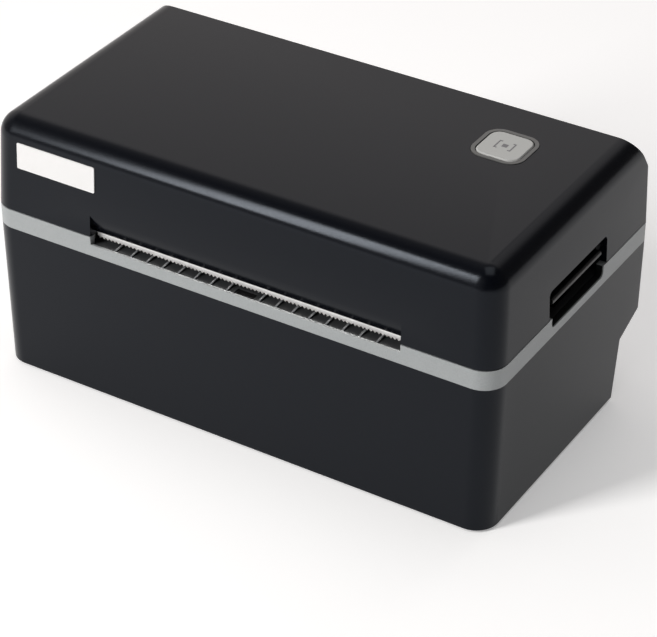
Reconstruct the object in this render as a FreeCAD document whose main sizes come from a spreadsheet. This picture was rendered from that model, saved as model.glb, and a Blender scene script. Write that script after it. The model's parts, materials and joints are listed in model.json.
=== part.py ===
import FreeCAD, Part
import math
import os
import re

import Sketcher

# Desktop thermal label printer: a lower housing, a middle frame whose edge shows as a band,
# and a lid hinged at the rear that carries the print head over a driven platen roller.
# X runs to the right, Y to the rear, Z up. The origin is under the middle of the whole part.

# Driving sizes in millimetres, counts as whole numbers and angles in degrees
SIZES = {
    # case
    "case_width": 200.0,
    "case_depth": 110.0,
    "foot_stand": 1.0,
    "base_height": 57.2,
    "band_height": 7.4,
    "lid_height": 35.0,
    "lid_gap": 0.4,
    "wall": 2.5,
    "front_corner": 8.5,
    "rear_corner": 2.0,
    "inner_corner": 1.0,
    "base_draft": 0.9,
    "lid_side_draft": 1.3,
    "lid_front_draft": 2.2,
    "lid_edge_round": 8.0,
    "rear_slope_depth": 9.5,
    "rear_slope_height": 15.0,
    "overhang_height": 30.0,
    "overhang_depth": 15.0,
    "undercut_rise": 6.7,
    "rear_lean": 2.9,
    "fit_gap": 0.2,
    "run_gap": 0.4,
    # label path through the case
    "path_offset": 4.0,
    "slot_width": 122.8,
    "exit_drop": 2.9,
    "exit_skin": 0.8,
    "entry_height": 4.5,
    "wedge_height": 8.1,
    "wedge_depth": 4.0,
    "bar_block": 2.6,
    # grips on both sides
    "grip_setback": 57.5,
    "grip_length": 41.4,
    "grip_height": 10.7,
    "grip_round": 2.0,
    "notch_length": 37.2,
    "finger_drop": 4.1,
    # middle frame and deck
    "band_wall": 2.8,
    "spigot_wall": 2.5,
    "spigot_depth": 4.0,
    "deck_thick": 2.2,
    "rib_count": 8,
    "rib_start": 6.4,
    "rib_pitch": 6.5,
    "rib_width": 0.7,
    "rib_rise": 0.8,
    "window_width": 7.6,
    "window_depth": 3.4,
    # hinge
    "hinge_radius": 3.0,
    "hinge_pin_radius": 1.25,
    "hinge_spread": 80.0,
    "base_knuckle": 8.0,
    "lid_knuckle": 10.0,
    "knuckle_gap": 0.4,
    "knuckle_room": 0.3,
    "knuckle_foot": 6.5,
    "pin_play": 0.05,
    # posts and screws
    "post_radius": 4.2,
    "post_inset": 9.5,
    "rib_thick": 2.0,
    "screw_radius": 1.4,
    "screw_head_radius": 2.7,
    "screw_head_height": 1.2,
    "screw_bite": 8.0,
    "peg_sides": 12,
    # bottom cover and feet
    "cover_thick": 2.2,
    "foot_radius": 6.0,
    "foot_recess": 0.8,
    "foot_inset_side": 24.0,
    "foot_inset_end": 14.0,
    "foot_round": 0.6,
    "vent_count": 8,
    "vent_pitch": 6.0,
    "vent_width": 2.4,
    "vent_length": 26.0,
    # platen roller
    "platen_setback": 14.0,
    "platen_radius": 6.0,
    "platen_length": 112.0,
    "platen_shaft_radius": 2.5,
    "print_lift": 0.7,
    "well_room": 0.8,
    "bearing_width": 5.0,
    "bearing_drop": 6.0,
    "bush_radius": 4.0,
    "bush_flange_radius": 5.0,
    "bush_flange": 0.8,
    "bearing_room": 1.7,
    # gear train
    "gear_module": 0.6,
    "gear_width": 4.0,
    "gear_play": 0.12,
    "platen_teeth": 24,
    "idler_small_teeth": 20,
    "idler_large_teeth": 40,
    "motor_teeth": 14,
    "idler_angle": -76.9,
    "motor_angle": -54.0,
    "bracket_thick": 1.5,
    "stud_radius": 2.0,
    "motor_shaft_radius": 1.5,
    "motor_size": 35.0,
    "motor_length": 24.0,
    "motor_corner": 5.0,
    "motor_boss_radius": 8.0,
    "motor_hole_spread": 26.0,
    # label guides
    "guide_reach": 59.0,
    "guide_travel": 39.0,
    "guide_thick": 3.0,
    "guide_length": 36.0,
    "guide_height": 6.8,
    "guide_foot": 8.0,
    "guide_foot_thick": 1.5,
    "guide_setback": 76.5,
    "rack_module": 1.0,
    "rack_teeth": 16,
    "rack_height": 3.5,
    "rack_back": 3.0,
    "rack_over": 6.0,
    "neck_length": 4.0,
    "neck_thick": 2.6,
    "guide_stud_radius": 2.0,
    # electronics at the rear
    "panel_thick": 2.5,
    "panel_recess": 0.7,
    "panel_left": -14.0,
    "panel_right": 66.0,
    "panel_edge": 2.0,
    "board_left": -24.0,
    "board_right": 74.0,
    "board_front": 22.0,
    "board_rear_gap": 3.0,
    "board_thick": 1.6,
    "board_lift": 5.0,
    "standoff_radius": 3.0,
    "standoff_inset": 6.0,
    "port_proud": 0.3,
    "usb_place": 20.0,
    "usb_width": 12.0,
    "usb_height": 10.8,
    "usb_depth": 16.0,
    "usb_wall": 0.6,
    "usb_cavity": 9.0,
    "tongue_width": 5.6,
    "tongue_height": 3.2,
    "jack_place": -1.0,
    "jack_width": 9.0,
    "jack_height": 11.0,
    "jack_depth": 14.0,
    "jack_bore_radius": 3.2,
    "jack_cavity": 9.5,
    "jack_pin_radius": 1.0,
    "switch_place": 49.0,
    "switch_level": 12.8,
    "switch_width": 21.0,
    "switch_height": 15.0,
    "switch_rim": 1.5,
    "switch_lip": 1.0,
    "switch_depth": 14.0,
    "switch_room": 0.8,
    "rocker_width": 15.6,
    "rocker_height": 10.4,
    "rocker_depth": 4.0,
    "rocker_dish": 1.2,
    "rocker_tilt": 10.0,
    # lid inside
    "liner_thick": 2.0,
    "lid_post_radius": 3.5,
    "lid_post_inset": 13.0,
    "head_width": 114.0,
    "head_depth": 20.0,
    "head_thick": 1.0,
    "head_setback": 7.2,
    "head_gap": 0.3,
    "head_travel": 1.0,
    "sink_width": 118.0,
    "sink_depth": 22.0,
    "sink_thick": 5.0,
    "sink_groove": 2.0,
    "bracket_rise": 12.0,
    "bracket_foot": 7.0,
    "head_pin_radius": 1.5,
    "head_pin_spread": 50.0,
    "leaf_thick": 0.5,
    "leaf_width": 8.0,
    "leaf_length": 30.0,
    "leaf_spread": 24.0,
    "tooth_pitch": 1.5,
    "tooth_height": 0.8,
    "bar_drop": 2.3,
    "bar_thick": 2.4,
    # latches
    "latch_length": 34.8,
    "lip_low": 3.9,
    "lip_thick": 2.2,
    "lip_inset": 0.7,
    "latch_pivot_inset": 10.0,
    "latch_pivot_rise": 15.5,
    "latch_boss_radius": 3.2,
    "latch_pin_radius": 1.5,
    "latch_plate": 2.5,
    "hook_width": 10.0,
    "hook_thick": 2.5,
    "hook_offset": 3.5,
    "hook_tooth": 2.5,
    "hook_tooth_height": 1.6,
    "hook_room": 0.3,
    "lug_thick": 3.0,
    "lug_half": 4.0,
    # feed button
    "button_right": 61.4,
    "button_setback": 75.0,
    "button_size": 16.4,
    "button_round": 4.0,
    "button_proud": 0.4,
    "button_flange": 1.0,
    "button_travel": 1.2,
    "ring_size": 20.0,
    "ring_proud": 0.2,
    "ring_lip": 1.5,
    "ring_lip_thick": 1.2,
    "button_board_length": 40.0,
    "button_board_width": 22.0,
    "tact_size": 6.0,
    "tact_height": 3.5,
}

# Places worked out from the sizes above
PLACES = {
    "side": "case_width/2",
    "front": "-(case_depth + hinge_radius)/2",
    "rear": "front + case_depth",
    "z_case": "foot_stand",
    "z_cover": "z_case + cover_thick",
    "z_over": "z_case + overhang_height",
    "z_band": "z_case + base_height",
    "z_parting": "z_band + band_height",
    "z_lid": "z_parting + lid_gap",
    "z_top": "z_parting + lid_height",
    "z_exit": "z_parting - exit_drop",
    "z_deck": "z_parting - finger_drop",
    "z_ledge": "z_deck - deck_thick",
    "z_liner": "z_lid + entry_height",
    "z_liner_top": "z_liner + liner_thick",
    "hinge_z": "z_parting + lid_gap/2",
    "slope_run": "sqrt(rear_slope_depth^2 + rear_slope_height^2)",
    "slot_left": "path_offset - slot_width/2",
    "slot_right": "path_offset + slot_width/2",
    "grip_y": "front + grip_setback",
    "post_x": "side - post_inset",
    "post_front": "front + post_inset",
    "post_rear": "panel_y - panel_thick - post_inset",
    "panel_y": "rear - overhang_depth - rear_lean - panel_recess",
    "platen_y": "front + platen_setback",
    "z_print": "z_exit + print_lift",
    "platen_z": "z_print - platen_radius",
    "platen_low": "path_offset - platen_length/2",
    "platen_high": "path_offset + platen_length/2",
    "bearing_low": "platen_low - bearing_room - bearing_width",
    "bearing_high": "platen_high + bearing_room + bearing_width",
    "bracket_x": "bearing_low - bush_flange - fit_gap - bracket_thick",
    "gear_near": "bracket_x - run_gap - gear_width",
    "gear_far": "gear_near - run_gap - gear_width",
    "idler_reach": "gear_module*(platen_teeth + idler_small_teeth)/2",
    "idler_y": "platen_y + idler_reach*cos(idler_angle*1deg)",
    "idler_z": "platen_z + idler_reach*sin(idler_angle*1deg)",
    "motor_reach": "gear_module*(idler_large_teeth + motor_teeth)/2",
    "motor_y": "idler_y + motor_reach*cos(motor_angle*1deg)",
    "motor_z": "idler_z + motor_reach*sin(motor_angle*1deg)",
    "platen_tip": "gear_module*(platen_teeth/2 + 1)",
    "guide_y": "front + guide_setback",
    "rack_radius": "rack_module*rack_teeth/2",
    "rack_top": "z_ledge - run_gap",
    "rack_low": "rack_top - rack_height",
    "neck_y": "rack_radius + 1.2*rack_module + rack_back/2",
    "z_board": "z_cover + board_lift",
    "z_board_top": "z_board + board_thick",
    "board_y_low": "front + board_front",
    "board_y_high": "panel_y - panel_thick - board_rear_gap",
    "head_y": "front + head_setback",
    "gap_y": "head_y + sink_depth + 2*run_gap + 2*window_depth",
    "z_head": "z_print + head_gap",
    "z_sink": "z_head + head_thick",
    "z_sink_top": "z_sink + sink_thick",
    "z_bracket": "z_sink_top + leaf_gap",
    "leaf_gap": "bracket_rise - sink_thick",
    "pivot_x": "side - latch_pivot_inset",
    "pivot_z": "z_lid + latch_pivot_rise",
    "lip_z": "z_lid + lip_low",
    "hook_in": "pivot_x - hook_offset",
    "z_hook": "z_ledge - hook_room - hook_tooth_height",
    "latch_half": "latch_length/2",
    "lug_in": "latch_half + run_gap",
    "lug_out": "lug_in + lug_thick",
    "button_y": "front + button_setback",
    "z_button_low": "z_top - wall - ring_lip_thick - button_flange - fit_gap",
    "ring_round": "button_round + (ring_size - button_size)/2",
    "z_button_board": "z_button_low - button_travel - fit_gap - tact_height",
}

doc = FreeCAD.newDocument("LabelPrinter")
sheet = doc.addObject("Spreadsheet::Sheet", "Sizes")
for row, (alias, value) in enumerate(SIZES.items(), start=1):
    sheet.set(f"A{row}", alias)
    sheet.set(f"B{row}", str(value))
    sheet.setAlias(f"B{row}", alias)
doc.recompute()

NODES = {}


# Formulas and measures


def formula(text):
    """Write names of sizes and places as an expression on the sheet."""
    def word(match):
        name = match.group(0)
        if name in PLACES:
            return "(" + formula(PLACES[name]) + ")"
        return "Sizes." + name if name in SIZES else name
    return re.sub(r"(?<![\w.])[A-Za-z_]\w*", word, str(text))


def number(text):
    """The value of a formula now."""
    return float(sheet.evalExpression(formula(text)))


def bind(thing, prop, text):
    thing.setExpression(prop, formula(text))


def node(thing, name):
    """Name a finished sub-part."""
    thing.Label = name
    NODES[name] = thing
    return thing


# Solids from primitives


def block(name, x, y, z):
    """A box between two formulas along each axis."""
    solid = doc.addObject("Part::Box", name)
    for prop, axis, (low, high) in zip(("Length", "Width", "Height"), "xyz", (x, y, z)):
        bind(solid, prop, f"({high}) - ({low})")
        bind(solid, f"Placement.Base.{axis}", low)
    return solid


TURNS = {
    "x": FreeCAD.Rotation(FreeCAD.Vector(0, 1, 0), 90),
    "y": FreeCAD.Rotation(FreeCAD.Vector(1, 0, 0), -90),
    "z": FreeCAD.Rotation(),
}


def stand(solid, axis, centre, span):
    """Set a primitive along an axis; centre gives the other two coordinates in order."""
    solid.Placement = FreeCAD.Placement(FreeCAD.Vector(), TURNS[axis])
    places = dict(zip([letter for letter in "xyz" if letter != axis], centre))
    places[axis] = span[0]
    for letter, text in places.items():
        bind(solid, f"Placement.Base.{letter}", text)
    bind(solid, "Height", f"({span[1]}) - ({span[0]})")


def rod(name, axis, centre, span, radius):
    """A cylinder, for what turns or is turned on."""
    solid = doc.addObject("Part::Cylinder", name)
    bind(solid, "Radius", radius)
    stand(solid, axis, centre, span)
    return solid


def peg(name, axis, centre, span, radius):
    """A rod with few sides, for screws, posts and holes, which repeat and are hardly seen."""
    solid = doc.addObject("Part::Prism", name)
    bind(solid, "Polygon", "peg_sides")
    bind(solid, "Circumradius", radius)
    stand(solid, axis, centre, span)
    return solid


def fuse(name, *pieces):
    solid = doc.addObject("Part::MultiFuse", name)
    solid.Shapes = list(pieces)
    solid.Refine = True
    return solid


def cut(name, base, *tools):
    solid = doc.addObject("Part::Cut", name)
    solid.Base = base
    solid.Tool = tools[0] if len(tools) == 1 else fuse(name + "_tools", *tools)
    solid.Refine = True
    return solid


def group(name, *pieces):
    """Several separate solids in one sub-part."""
    solid = doc.addObject("Part::Compound", name)
    solid.Links = list(pieces)
    return solid


# Sketched bodies


def new_body(name):
    return doc.addObject("PartDesign::Body", name)


def new_sketch(body, name, role, offset):
    """A sketch on one of the body's own planes, moved along the plane's normal."""
    sketch = body.newObject("Sketcher::SketchObject", name)
    plane = next(item for item in body.Origin.OriginFeatures if item.Role == role)
    sketch.AttachmentSupport = [(plane, "")]
    sketch.MapMode = "FlatFace"
    bind(sketch, "AttachmentOffset.Base.z", offset)
    return sketch


def hold(sketch, kind, formula_text, *points):
    """A dimension of the sketch, bound to the sheet."""
    index = sketch.addConstraint(Sketcher.Constraint(kind, *points, number(formula_text)))
    bind(sketch, f"Constraints[{index}]", formula_text)


def pin_point(sketch, edge, end, spot):
    hold(sketch, "DistanceX", spot[0], -1, 1, edge, end)
    hold(sketch, "DistanceY", spot[1], -1, 1, edge, end)


def spot_vector(spot):
    return FreeCAD.Vector(number(spot[0]), number(spot[1]), 0)


def polygon_sketch(body, name, role, offset, spots):
    """A closed outline of straight edges through the spots."""
    sketch = new_sketch(body, name, role, offset)
    corners = [spot_vector(spot) for spot in spots]
    count = len(spots)
    for index in range(count):
        sketch.addGeometry(Part.LineSegment(corners[index], corners[(index + 1) % count]))
    for index in range(count):
        sketch.addConstraint(Sketcher.Constraint("Coincident", index, 2, (index + 1) % count, 1))
        pin_point(sketch, index, 1, spots[index])
    return sketch


def add_rounded(sketch, u, v, low_round, high_round):
    """A rectangle whose low and high corners are rounded."""
    (u0, u1), (v0, v1) = u, v
    reach = {-90: (0, -1), 0: (1, 0), 90: (0, 1), 180: (-1, 0), 270: (0, -1)}
    corners = [(u1, v0, low_round, -1, 1), (u1, v1, high_round, -1, -1),
               (u0, v1, high_round, 1, -1), (u0, v0, low_round, 1, 1)]
    turns = []
    for (along, across, radius, u_sign, v_sign), angle in zip(corners, (-90, 0, 90, 180)):
        centre = (f"{along} + ({u_sign})*({radius})", f"{across} + ({v_sign})*({radius})")
        circle = Part.Circle(spot_vector(centre), FreeCAD.Vector(0, 0, 1), number(radius))
        start = math.radians(angle)
        arc = sketch.addGeometry(Part.ArcOfCircle(circle, start, start + math.pi/2))
        hold(sketch, "Radius", radius, arc)
        ends = [
            tuple(f"{middle} + ({step})*({radius})" for middle, step in zip(centre, reach[bearing]))
            for bearing in (angle, angle + 90)
        ]
        turns.append((*ends, arc))
    for index, (_, start, arc) in enumerate(turns):
        finish, _, next_arc = turns[(index + 1) % 4]
        line = sketch.addGeometry(Part.LineSegment(spot_vector(start), spot_vector(finish)))
        pin_point(sketch, line, 1, start)
        pin_point(sketch, line, 2, finish)
        sketch.addConstraint(Sketcher.Constraint("Coincident", arc, 2, line, 1))
        sketch.addConstraint(Sketcher.Constraint("Coincident", next_arc, 1, line, 2))


def rounded_sketch(body, name, role, offset, u, v, low_round, high_round):
    sketch = new_sketch(body, name, role, offset)
    add_rounded(sketch, u, v, low_round, high_round)
    return sketch


def pad(body, name, sketch, length):
    feature = body.newObject("PartDesign::Pad", name)
    feature.Profile = sketch
    bind(feature, "Length", length)
    return feature


def start_of(role, low, high):
    """Offset along the plane's normal where a pad from low to high begins."""
    return f"-({high})" if role == "XZ_Plane" else low


def prism(name, role, spots, low, high):
    """A straight-edged profile drawn out between two formulas."""
    body = new_body(name)
    sketch = polygon_sketch(body, name + "_profile", role, start_of(role, low, high), spots)
    pad(body, name + "_pad", sketch, f"({high}) - ({low})")
    return body


def rounded_prism(name, role, u, v, low_round, high_round, low, high):
    """A rounded rectangle drawn out between two formulas."""
    body = new_body(name)
    offset = start_of(role, low, high)
    sketch = rounded_sketch(body, name + "_profile", role, offset, u, v, low_round, high_round)
    pad(body, name + "_pad", sketch, f"({high}) - ({low})")
    return body


def edge_feature(body, kind, name, wanted):
    """A feature on the edges of the body's last feature that the test picks."""
    doc.recompute()
    base = body.Tip
    picked = [f"Edge{i}" for i, edge in enumerate(base.Shape.Edges, start=1) if wanted(edge)]
    feature = body.newObject(kind, name)
    feature.Base = (base, picked)
    return feature


def round_edges(body, name, radius, wanted):
    bind(edge_feature(body, "PartDesign::Fillet", name, wanted), "Radius", radius)
    doc.recompute()


def soften_edges(body, name, size, wanted):
    bind(edge_feature(body, "PartDesign::Chamfer", name, wanted), "Size", size)
    doc.recompute()


def level_at(edge, height):
    """True where an edge lies in a level plane."""
    box = edge.BoundBox
    return abs(box.ZMin - height) < 0.01 and abs(box.ZMax - height) < 0.01


def case_outline(body, name, height, inset, rear_round):
    """The plan of the case, drawn in by an inset."""
    u = (f"-side + {inset}", f"side - ({inset})")
    v = (f"front + {inset}", f"rear - ({inset})")
    return rounded_sketch(body, name, "XY_Plane", height, u, v, f"front_corner - ({inset})", rear_round)


def through_pocket(body, name, spots):
    """Cut a profile of the YZ plane right through the width of the case."""
    doc.recompute()
    before = body.Tip.Shape.Volume
    sketch = polygon_sketch(body, name + "_profile", "YZ_Plane", "side + wall", spots)
    feature = body.newObject("PartDesign::Pocket", name)
    feature.Profile = sketch
    bind(feature, "Length", "case_width + 2*wall")
    doc.recompute()
    if not feature.Shape.Volume < before:
        raise RuntimeError(name + " cuts nothing")
    return feature


def screws(name, spots, seat, upward):
    """Pan-head screws on vertical axes; seat is the underside of the heads."""
    pieces = []
    for index, spot in enumerate(spots):
        if upward:
            head = (f"{seat} - screw_head_height", seat)
            shank = (seat, f"{seat} + screw_bite")
        else:
            head = (seat, f"{seat} + screw_head_height")
            shank = (f"{seat} - screw_bite", seat)
        label = f"{name}_{index}"
        pieces.append(fuse(
            label,
            peg(label + "_head", "z", spot, head, "screw_head_radius"),
            peg(label + "_shank", "z", spot, shank, "screw_radius"),
        ))
    return node(group(name + "_set", *pieces), name)


# Toothed shapes

PRESSURE_ANGLE = math.radians(20)
ADDENDUM = 0.85
DEDENDUM = 1.2


def involute(angle):
    return math.tan(angle) - angle


def gear_points(teeth, module, play, phase):
    """Outline of a spur gear with a tooth centred on the phase angle."""
    pitch = module*teeth/2
    base = pitch*math.cos(PRESSURE_ANGLE)
    tip = pitch + ADDENDUM*module
    root = pitch - DEDENDUM*module
    half = (math.pi*module/2 - play)/(2*pitch)
    low = max(base, root)
    flank = []
    for radius in (low, (low + tip)/2, tip):
        spread = half + involute(PRESSURE_ANGLE) - involute(math.acos(min(1, base/radius)))
        flank.append((radius, spread))
    if root < base:
        flank.insert(0, (root, flank[0][1]))
    points = []
    for index in range(teeth):
        middle = phase + 2*math.pi*index/teeth
        sweep = [(r, middle - a) for r, a in flank] + [(r, middle + a) for r, a in reversed(flank)]
        points += [(r*math.cos(a), r*math.sin(a)) for r, a in sweep]
    return points


def drawn(points, origin, first, second, thickness):
    """Draw a closed outline of plane points out into a solid."""
    corners = [origin + first*u + second*v for u, v in points]
    wire = Part.makePolygon(corners + corners[:1])
    return Part.Face(wire).extrude(first.cross(second)*thickness)


def gear_on_x(name, teeth, low, centre, phase, bore):
    """A gear in the drive train, with its axis along X."""
    origin = FreeCAD.Vector(number(low), number(centre[0]), number(centre[1]))
    across, up = FreeCAD.Vector(0, 1, 0), FreeCAD.Vector(0, 0, 1)
    width = number("gear_width")
    points = gear_points(int(number(teeth)), number("gear_module"), number("gear_play"), phase)
    hole = Part.makeCylinder(number(bore), width, origin, FreeCAD.Vector(1, 0, 0))
    feature = doc.addObject("Part::Feature", name)
    feature.Shape = drawn(points, origin, across, up, width).cut(hole)
    return feature


def rack_shape(name, x, pitch_y, toward):
    """A toothed bar along X whose teeth point along Y and leave a gap at the path's middle."""
    module = number("rack_module")
    step = math.pi*module
    half = (step/2 - number("gear_play"))/2
    slope = math.tan(PRESSURE_ANGLE)
    tip_half = half - ADDENDUM*module*slope
    root_half = half + DEDENDUM*module*slope
    middle = number("path_offset")
    low, high = number(x[0]), number(x[1])
    back = -(DEDENDUM*module + number("rack_back"))
    points = [(low, back), (low, -DEDENDUM*module)]
    first = math.ceil((low + root_half - middle)/step - 0.5)
    last = math.floor((high - root_half - middle)/step - 0.5)
    for index in range(first, last + 1):
        centre = middle + (index + 0.5)*step
        points += [(centre - root_half, -DEDENDUM*module), (centre - tip_half, ADDENDUM*module)]
        points += [(centre + tip_half, ADDENDUM*module), (centre + root_half, -DEDENDUM*module)]
    points += [(high, -DEDENDUM*module), (high, back)]
    corners = [
        FreeCAD.Vector(along, number(pitch_y) + toward*across, number("rack_low"))
        for along, across in points
    ]
    feature = doc.addObject("Part::Feature", name)
    face = Part.Face(Part.makePolygon(corners + corners[:1]))
    feature.Shape = face.extrude(FreeCAD.Vector(0, 0, number("rack_height")))
    return feature


# Lower housing


def housing_form(name, inset, rear_round):
    """The base's outer form, or its hollow where the inset is the wall."""
    body = new_body(name)
    low_half = f"side - {inset} - base_draft"
    high_half = f"side - {inset}"
    section = polygon_sketch(body, name + "_section", "XZ_Plane", f"-(rear - {inset})", [
        (f"-({low_half})", "z_case"),
        (low_half, "z_case"),
        (high_half, "z_band"),
        (f"-({high_half})", "z_band"),
    ])
    pad(body, name + "_pad", section, f"case_depth - 2*{inset}")
    middle = number("(front + rear)/2")
    round_edges(body, name + "_front_corners", f"front_corner - {inset}",
                lambda edge: edge.BoundBox.ZLength > 1 and edge.CenterOfMass.y < middle)
    back = number(f"rear - {inset}")
    round_edges(body, name + "_rear_corners", rear_round,
                lambda edge: edge.BoundBox.ZLength > 1 and edge.BoundBox.YMin > back - 0.01)
    foot = f"rear - overhang_depth - rear_lean - {inset}"
    through_pocket(body, name + "_undercut", [
        ("rear + wall", f"z_over + {inset}"),
        ("rear", f"z_over + {inset}"),
        (f"rear - overhang_depth - {inset}", f"z_over - undercut_rise + {inset}"),
        (foot, "z_case"),
        (foot, "z_case - wall"),
        ("rear + wall", "z_case - wall"),
    ])
    return body


POSTS = [(x, y) for x in ("-post_x", "post_x") for y in ("post_front", "post_rear")]


def lower_housing():
    shell = cut("housing_shell", housing_form("housing_outer", "0", "rear_corner"),
                housing_form("housing_hollow", "wall", "inner_corner"))
    pieces = [shell]
    for index, (x, y) in enumerate(POSTS):
        pieces.append(peg(f"post_{index}", "z", (x, y), ("z_cover", "z_ledge"), "post_radius"))
        ends = (x, "side - base_draft - wall/2")
        if x.startswith("-"):
            ends = ("-(side - base_draft - wall/2)", x)
        pieces.append(block(f"post_rib_{index}", ends, (f"{y} - rib_thick/2", f"{y} + rib_thick/2"),
                            ("z_cover", "z_band - spigot_depth - fit_gap")))
    pieces.append(block("port_panel", ("panel_left", "panel_right"), ("panel_y - panel_thick", "panel_y"),
                        ("z_case", "z_over - undercut_rise")))
    tools = [
        block("port_recess", ("panel_left + panel_edge", "panel_right - panel_edge"), ("panel_y", "rear"),
              ("z_case + panel_edge", "z_over - undercut_rise - panel_edge")),
        block("usb_hole", ("usb_place - usb_width/2 - fit_gap", "usb_place + usb_width/2 + fit_gap"),
              ("panel_y - 2*panel_thick", "rear"), ("z_board_top", "z_board_top + usb_height + fit_gap")),
        block("jack_hole", ("jack_place - jack_width/2 - fit_gap", "jack_place + jack_width/2 + fit_gap"),
              ("panel_y - 2*panel_thick", "rear"), ("z_board_top", "z_board_top + jack_height + fit_gap")),
        block("switch_hole",
              ("switch_place - switch_width/2 + switch_lip", "switch_place + switch_width/2 - switch_lip"),
              ("panel_y - 2*panel_thick", "rear"),
              ("switch_level - switch_height/2 + switch_lip", "switch_level + switch_height/2 - switch_lip")),
    ]
    for index, (x, y) in enumerate(POSTS):
        tools.append(peg(f"post_low_hole_{index}", "z", (x, y), ("z_case", "z_cover + screw_bite"),
                         "screw_radius"))
        tools.append(peg(f"post_top_hole_{index}", "z", (x, y), ("z_ledge - screw_bite", "z_ledge"),
                         "screw_radius"))
    node(cut("housing", fuse("housing_solid", *pieces), *tools), "lower_housing")


# Bottom cover, its screws and the rubber feet

FEET = [
    (x, y)
    for x in ("-(side - foot_inset_side)", "side - foot_inset_side")
    for y in ("front + foot_inset_end", "panel_y - foot_inset_end")
]
STANDOFFS = [
    (x, y)
    for x in ("board_left + standoff_inset", "board_right - standoff_inset")
    for y in ("board_y_low + standoff_inset", "board_y_high - standoff_inset")
]


def bottom_cover():
    edge = "side - base_draft - wall - fit_gap"
    plate = rounded_prism("cover_plate", "XY_Plane", (f"-({edge})", edge),
                          ("front + wall + fit_gap", "panel_y - panel_thick - fit_gap"),
                          "front_corner - wall - fit_gap", "inner_corner", "z_case", "z_cover")
    standoffs = [
        peg(f"standoff_{index}", "z", spot, ("z_cover", "z_board"), "standoff_radius")
        for index, spot in enumerate(STANDOFFS)
    ]
    tools = []
    for index, spot in enumerate(POSTS):
        tools.append(peg(f"cover_hole_{index}", "z", spot, ("z_case", "z_cover"), "screw_radius + fit_gap"))
        tools.append(peg(f"cover_sink_{index}", "z", spot, ("z_case", "z_case + screw_head_height"),
                         "screw_head_radius + fit_gap"))
    for index, spot in enumerate(FEET):
        tools.append(peg(f"foot_seat_{index}", "z", spot, ("z_case", "z_case + foot_recess"), "foot_radius"))
    for index, spot in enumerate(STANDOFFS):
        tools.append(peg(f"standoff_hole_{index}", "z", spot,
                         ("z_board - screw_bite + board_thick", "z_board"),
                         "screw_radius"))
    for index in range(int(number("vent_count"))):
        middle = f"(board_left + board_right)/2 + vent_pitch*({index} - (vent_count - 1)/2)"
        tools.append(block(f"vent_{index}", (f"{middle} - vent_width/2", f"{middle} + vent_width/2"),
                           ("front + board_front", "front + board_front + vent_length"),
                           ("z_case", "z_cover")))
    node(cut("cover", fuse("cover_solid", plate, *standoffs), *tools), "bottom_cover")
    screws("bottom_screws", POSTS, "z_case + screw_head_height", True)


def rubber_feet():
    feet = []
    for index, spot in enumerate(FEET):
        pad_part = peg(f"foot_{index}_pad", "z", spot, ("foot_round", "z_case + foot_recess"), "foot_radius")
        tread = peg(f"foot_{index}_tread", "z", spot, ("0", "foot_round"), "foot_radius - foot_round")
        feet.append(fuse(f"foot_{index}", pad_part, tread))
    node(group("feet", *feet), "rubber_feet")


# Middle frame with the hinge knuckles

HINGES = ("-hinge_spread", "hinge_spread")
KNUCKLE_STEP = "(lid_knuckle/2 + knuckle_gap)"


def frame_ring(body, name, outer, inner, low, high, outer_round, inner_round):
    """A ring that follows the plan of the case between two insets."""
    sketch = case_outline(body, name + "_plan", low, outer, outer_round)
    u = (f"-side + {inner}", f"side - ({inner})")
    v = (f"front + {inner}", f"rear - ({inner})")
    add_rounded(sketch, u, v, f"front_corner - ({inner})", inner_round)
    return pad(body, name + "_pad", sketch, f"({high}) - ({low})")


def knuckle(name, span, foot_level, reach_in):
    """A hinge barrel on the rear edge, with a tapered foot along the wall."""
    barrel = rod(name + "_barrel", "x", ("rear", "hinge_z"), span, "hinge_radius")
    foot = prism(name + "_foot", "YZ_Plane", [
        (f"rear - {reach_in}", "hinge_z"),
        (f"rear - {reach_in}", foot_level),
        ("rear", foot_level),
        ("rear + hinge_radius", "hinge_z"),
    ], *span)
    return [barrel, foot]


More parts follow.
